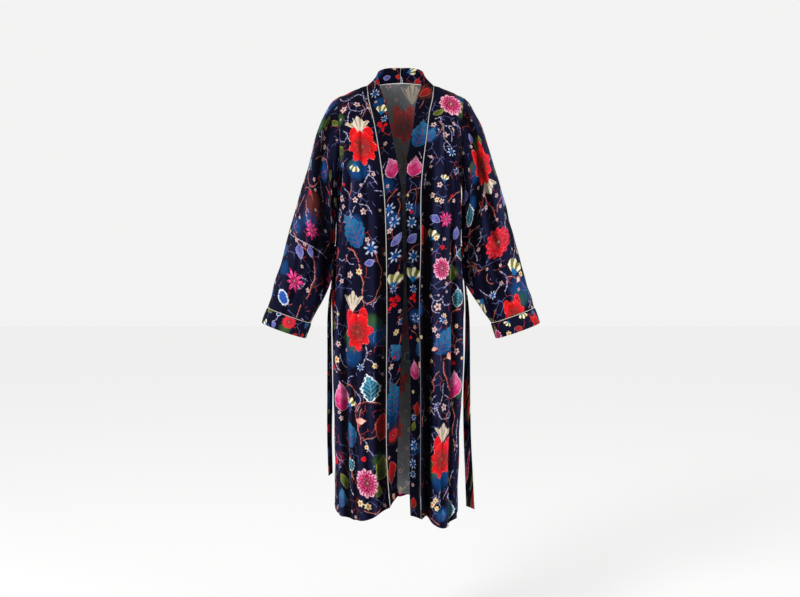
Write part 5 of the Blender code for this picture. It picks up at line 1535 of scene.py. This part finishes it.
def clothMaterial(name, wrong):
    made = bpy.data.materials.new(name)
    made.use_nodes = True
    tree = made.node_tree
    nodes, links = tree.nodes, tree.links
    shader = nodes["Principled BSDF"]
    group = nodes.new("ShaderNodeGroup")
    group.node_tree = printed
    where = nodes.new("ShaderNodeUVMap")
    where.uv_map = "cloth"
    stretch = nodes.new("ShaderNodeMapping")
    stretch.inputs["Scale"].default_value = (1, velvetLook["napStretch"], 1)
    links.new(where.outputs["UV"], stretch.inputs["Vector"])
    nap = nodes.new("ShaderNodeTexNoise")
    nap.inputs["Scale"].default_value = velvetLook["napScale"]
    nap.inputs["Detail"].default_value = 4
    links.new(stretch.outputs["Vector"], nap.inputs["Vector"])
    brushed = (Amount(tree, nap.outputs["Fac"]) - 0.5) * (velvetLook["nap"] * 4) + 1
    colour = group.outputs["Colour"]
    if wrong:
        colour = mixed(wrongLook["cloth"], colour, Amount(tree, group.outputs["Motif"]) * wrongLook["print"])
    # painted shade of folds and shadows scales the colour; where it lifts a ridge, a bluish painted highlight is
    # mixed in
    drawn = nodes.new("ShaderNodeAttribute")
    drawn.attribute_name = "shade"
    shade = Amount(tree, drawn.outputs["Fac"])
    if not wrong:
        lit = (shade - 1).of("MAXIMUM", 0) * velvetLook["paintedRidgeSheen"] * (Amount(tree, nap.outputs["Fac"]) * 2)
        colour = mixed(colour, velvetLook["paintedSheenColour"], lit)
    node = nodes.new("ShaderNodeVectorMath")
    node.operation = "SCALE"
    links.new(colour, node.inputs[0])
    links.new((brushed * shade.of("MINIMUM", velvetLook["mostShade"])).socket, node.inputs["Scale"])
    links.new(node.outputs[0], shader.inputs["Base Color"])
    for socket, value in (wrongLook if wrong else velvetLook)["sockets"].items():
        shader.inputs[socket].default_value = value
    pile = nodes.new("ShaderNodeTexNoise")
    pile.inputs["Scale"].default_value = velvetLook["pileScale"]
    links.new(where.outputs["UV"], pile.inputs["Vector"])
    bump = nodes.new("ShaderNodeBump")
    bump.inputs["Strength"].default_value = velvetLook["bump"]
    bump.inputs["Distance"].default_value = velvetLook["bumpDistance"]
    links.new(pile.outputs["Fac"], bump.inputs["Height"])
    links.new(bump.outputs["Normal"], shader.inputs["Normal"])
    return made


def simpleMaterial(name, colour, roughness):
    made = bpy.data.materials.new(name)
    made.use_nodes = True
    shader = made.node_tree.nodes["Principled BSDF"]
    shader.inputs["Base Color"].default_value = (*colour, 1)
    shader.inputs["Roughness"].default_value = roughness
    return made


velvet = clothMaterial("printedVelvet", False)
wrongSide = clothMaterial("velvetWrongSide", True)
pipingLook = {"colour": tone(202, 197, 186), "dim": tone(60, 58, 62), "roughness": 0.45}
satin = simpleMaterial("creamPiping", pipingLook["colour"], pipingLook["roughness"])
# the piping's dim colour is painted shade, mixed in by its shade attribute
dim = satin.node_tree.nodes.new("ShaderNodeAttribute")
dim.attribute_name = "shade"
dimmed = mixed(pipingLook["dim"], pipingLook["colour"], Amount(satin.node_tree, dim.outputs["Fac"]))
satin.node_tree.links.new(dimmed, satin.node_tree.nodes["Principled BSDF"].inputs["Base Color"])

firstSeed = 80  # of the scattered motifs
pieces = [backPiece()]
for side in (right, left):
    pieces += [frontPiece(side), sleevePiece(side), cuffPiece(side), bandPiece(side), loopPiece(side)]
pieces.append(beltPiece())
for number, piece in enumerate(pieces):
    obj, cornerFlat, grid = clothSheet(piece)
    setPrint(obj, cornerFlat, grid, piece["part"], firstSeed + number)
    setShade(obj, grid, piece["part"], piece["points"].shape[1])
    obj.data.materials.append(velvet)
    obj.data.materials.append(wrongSide)
    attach(obj, "root")
    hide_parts(*piece["nodes"])
    print(piece["name"], len(obj.data.polygons), "faces")


def alongTree(name, inputs, kinds, joins):
    # a node tree from a path of edges to a mesh: its inputs, its nodes, and its joins as "node.Socket" pairs
    tree = bpy.data.node_groups.new(name, "GeometryNodeTree")
    for label, kind in {"Geometry": "Geometry", **inputs, "Finish": "Material"}.items():
        tree.interface.new_socket(label, in_out="INPUT", socket_type="NodeSocket" + kind)
    tree.interface.new_socket("Geometry", in_out="OUTPUT", socket_type="NodeSocketGeometry")
    kinds = {
        "start": "NodeGroupInput", "curve": "GeometryNodeMeshToCurve", **kinds,
        "real": "GeometryNodeRealizeInstances", "finish": "GeometryNodeSetMaterial", "end": "NodeGroupOutput",
    }
    nodes = {label: tree.nodes.new(kind) for label, kind in kinds.items()}
    if "spaced" in nodes:
        nodes["spaced"].mode = "LENGTH"
    joins = {"start.Geometry": "curve.Mesh", **joins, "real.Geometry": "finish.Geometry",
             "start.Finish": "finish.Material", "finish.Geometry": "end.Geometry"}
    for (a, out), (b, into) in ((first.split("."), second.split(".")) for first, second in joins.items()):
        tree.links.new(nodes[a].outputs[out], nodes[b].inputs[into])
    return tree, nodes


def pipingTree():
    # a round cord along a path
    tree, nodes = alongTree(
        "pipingAlongSeam", {"Radius": "Float", "Sides": "Int"},
        {"ring": "GeometryNodeCurvePrimitiveCircle", "tube": "GeometryNodeCurveToMesh",
         "smooth": "GeometryNodeSetShadeSmooth"},
        {"start.Radius": "ring.Radius", "start.Sides": "ring.Resolution", "curve.Curve": "tube.Curve",
         "ring.Curve": "tube.Profile Curve", "tube.Mesh": "smooth.Geometry",
         "smooth.Geometry": "real.Geometry"})
    nodes["tube"].inputs["Fill Caps"].default_value = True
    return tree


def alongPath(name, path, tree, inputs, closed=False):
    # the tree's result along a path, as a plain mesh
    count = len(path)
    edges = [(k, (k + 1) % count) for k in range(count if closed else count - 1)]
    mesh = bpy.data.meshes.new(name)
    mesh.from_pydata(np.asarray(path).tolist(), edges, [])
    obj = bpy.data.objects.new(name, mesh)
    scene.collection.objects.link(obj)
    nodesOn = obj.modifiers.new("along", "NODES")
    nodesOn.node_group = tree
    for item in tree.interface.items_tree:
        if item.item_type == "SOCKET" and item.in_out == "INPUT" and item.name in inputs:
            nodesOn[item.identifier] = inputs[item.name]
    evaluated = obj.evaluated_get(bpy.context.evaluated_depsgraph_get())
    plain = bpy.data.meshes.new_from_object(evaluated)
    obj.modifiers.clear()
    obj.data = plain
    plain.name = name
    return obj


def dimPiping(obj, low, high, least):
    # painted shade on the piping: darker below a height, where it lies in a deep fold, and dark on the inner
    # side of the back neck, in the band's own shade
    rings = np.array([v.co for v in obj.data.vertices]).reshape(-1, piping["Sides"], 3)
    middle = rings.mean(1, keepdims=True)
    shade = 1 - (1 - least) * ease((high - rings[..., 2]) / (high - low))
    inner = ((middle - rings) * middle)[..., :2].sum(-1) > 0
    shade = np.where(inner & (middle[..., 2] > -0.03) & (middle[..., 1] > -0.02), 0, shade)
    store(obj.data, "shade", "FLOAT", "POINT", shade)


# the cord is drawn thinner than its solid, because the photograph's line is that thin
piping = {"Radius": pipingRadius * 0.54, "Sides": 14, "Finish": satin}
# painted shade on the piping: the heights between which it darkens, and the least light that is left there
bandDim = {right: (-0.66, -0.36, 0.8), left: (-0.66, -0.36, 0.15)}
cuffDim = (-0.7, -0.5, 1)
tree = pipingTree()
for side in (right, left):
    past = np.concatenate((np.linspace(0, 1, 260), np.linspace(1, 2, 60)[1:]))
    path = seamPoint(side, past)
    path[-1] += (side * seamGap * 0.6, 0, 0)
    bandCord = alongPath("bandPiping_" + sideName[side], path, tree, piping)
    angle = np.linspace(0, 360, 120, endpoint=False)
    middle, along, seam = cuffRings(side, angle)
    ring = seam + along * pipingRoom - unit(seam - middle) * cloth / 4
    cuffCord = alongPath("cuffPiping_" + sideName[side], ring, tree, piping, closed=True)
    dimPiping(bandCord, *bandDim[side])
    dimPiping(cuffCord, *cuffDim)
    for obj, node in ((bandCord, "band_piping_"), (cuffCord, "cuff_piping_")):
        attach(obj, "root")
        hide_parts(node + sideName[side])
print("piping done")


def stitchTree():
    # short threads laid end to end along a path
    tree, nodes = alongTree(
        "stitchesAlongSeam", {"Spacing": "Float", "Stitch": "Float", "Thread": "Float"},
        {"spaced": "GeometryNodeResampleCurve", "tangent": "GeometryNodeInputTangent",
         "turned": "FunctionNodeAlignRotationToVector", "thread": "GeometryNodeMeshCylinder",
         "placed": "GeometryNodeInstanceOnPoints"},
        {"curve.Curve": "spaced.Curve", "start.Spacing": "spaced.Length", "tangent.Tangent": "turned.Vector",
         "start.Thread": "thread.Radius", "start.Stitch": "thread.Depth", "spaced.Curve": "placed.Points",
         "thread.Mesh": "placed.Instance", "turned.Rotation": "placed.Rotation",
         "placed.Instances": "real.Geometry"})
    nodes["thread"].inputs["Vertices"].default_value = 6
    return tree


def hemLine(piece, height):
    # a line across a piece at one height above its hem, on the face of the cloth
    points = piece["points"]
    up, columns = stepLengths(points, 0), range(points.shape[1])
    line = [[np.interp(height, up[:, k], points[:, k, axis]) for axis in range(3)] for k in columns]
    return np.array(line) + np.array(piece["outward"]) * 0.0001


navyThread = simpleMaterial("navyThread", tone(22, 24, 52), 0.6)
stitching = {"Spacing": 0.0042, "Stitch": 0.0029, "Thread": 0.00026, "Finish": navyThread}
belowTurnUp = 0.002  # how far the stitches run below the top of the turned-up hem
tree = stitchTree()
for piece in pieces:
    if "turnUp" in piece:
        name = piece["name"].replace("Panel", "HemStitches")
        obj = alongPath(name, hemLine(piece, hemTurnUp - belowTurnUp)[2:-2], tree, stitching)
        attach(obj, "root")
        print(name, len(obj.data.polygons), "faces")


def areaLight(name, place, size, energy, aim=(0, 0, -0.55)):
    light = bpy.data.lights.new(name, "AREA")
    light.shape, light.size, light.energy = "DISK", size, energy
    obj = bpy.data.objects.new(name, light)
    obj.location = place
    obj.rotation_euler = (Vector(aim) - Vector(place)).to_track_quat("-Z", "Y").to_euler()
    scene.collection.objects.link(obj)
    return obj


studio = {
    "floor": (0.965, 0.965, 0.965), "air": (0.893, 0.893, 0.889),
    "key": ((-2.4, -2.9, 1.6), 1.2, 60),
    "fill": ((2.6, -2.4, 0.2), 1.6, 16), "floorReach": 30.0, "floorHeight": -1.62,
}
areaLight("keyLight", *studio["key"])
areaLight("fillLight", *studio["fill"])
world = bpy.data.worlds.new("studio")
scene.world = world
world.use_nodes = True
world.node_tree.nodes["Background"].inputs["Color"].default_value = (*studio["air"], 1)
world.node_tree.nodes["Background"].inputs["Strength"].default_value = 1
scene.view_settings.view_transform = "Standard"

floor = bpy.data.meshes.new("studioFloor")
reach, low = studio["floorReach"], studio["floorHeight"]
turns = ((-1, -1), (1, -1), (1, 1), (-1, 1))
floor.from_pydata([(x * reach, y * reach, low) for x, y in turns], [], [(0, 1, 2, 3)])
floor.materials.append(simpleMaterial("paleFloor", studio["floor"], 1))
floor.materials[0].node_tree.nodes["Principled BSDF"].inputs["Specular IOR Level"].default_value = 0
floorObject = bpy.data.objects.new("studioFloor", floor)
scene.collection.objects.link(floorObject)

# focal length, picture width and shift in pixels of the photograph, sensor in millimetres, place in metres
photo = {"focal": 892.9, "width": 800, "shift": -0.5, "sensor": 36, "place": (0, -2.5, -0.596)}
camera = bpy.data.cameras.new("photoCamera")
camera.sensor_width = photo["sensor"]
camera.lens = photo["focal"] / photo["width"] * photo["sensor"]
camera.shift_x = photo["shift"] / photo["width"]
cameraObject = bpy.data.objects.new("photoCamera", camera)
cameraObject.location = photo["place"]
cameraObject.rotation_euler = (math.pi / 2, 0, 0)
scene.collection.objects.link(cameraObject)
scene.camera = cameraObject
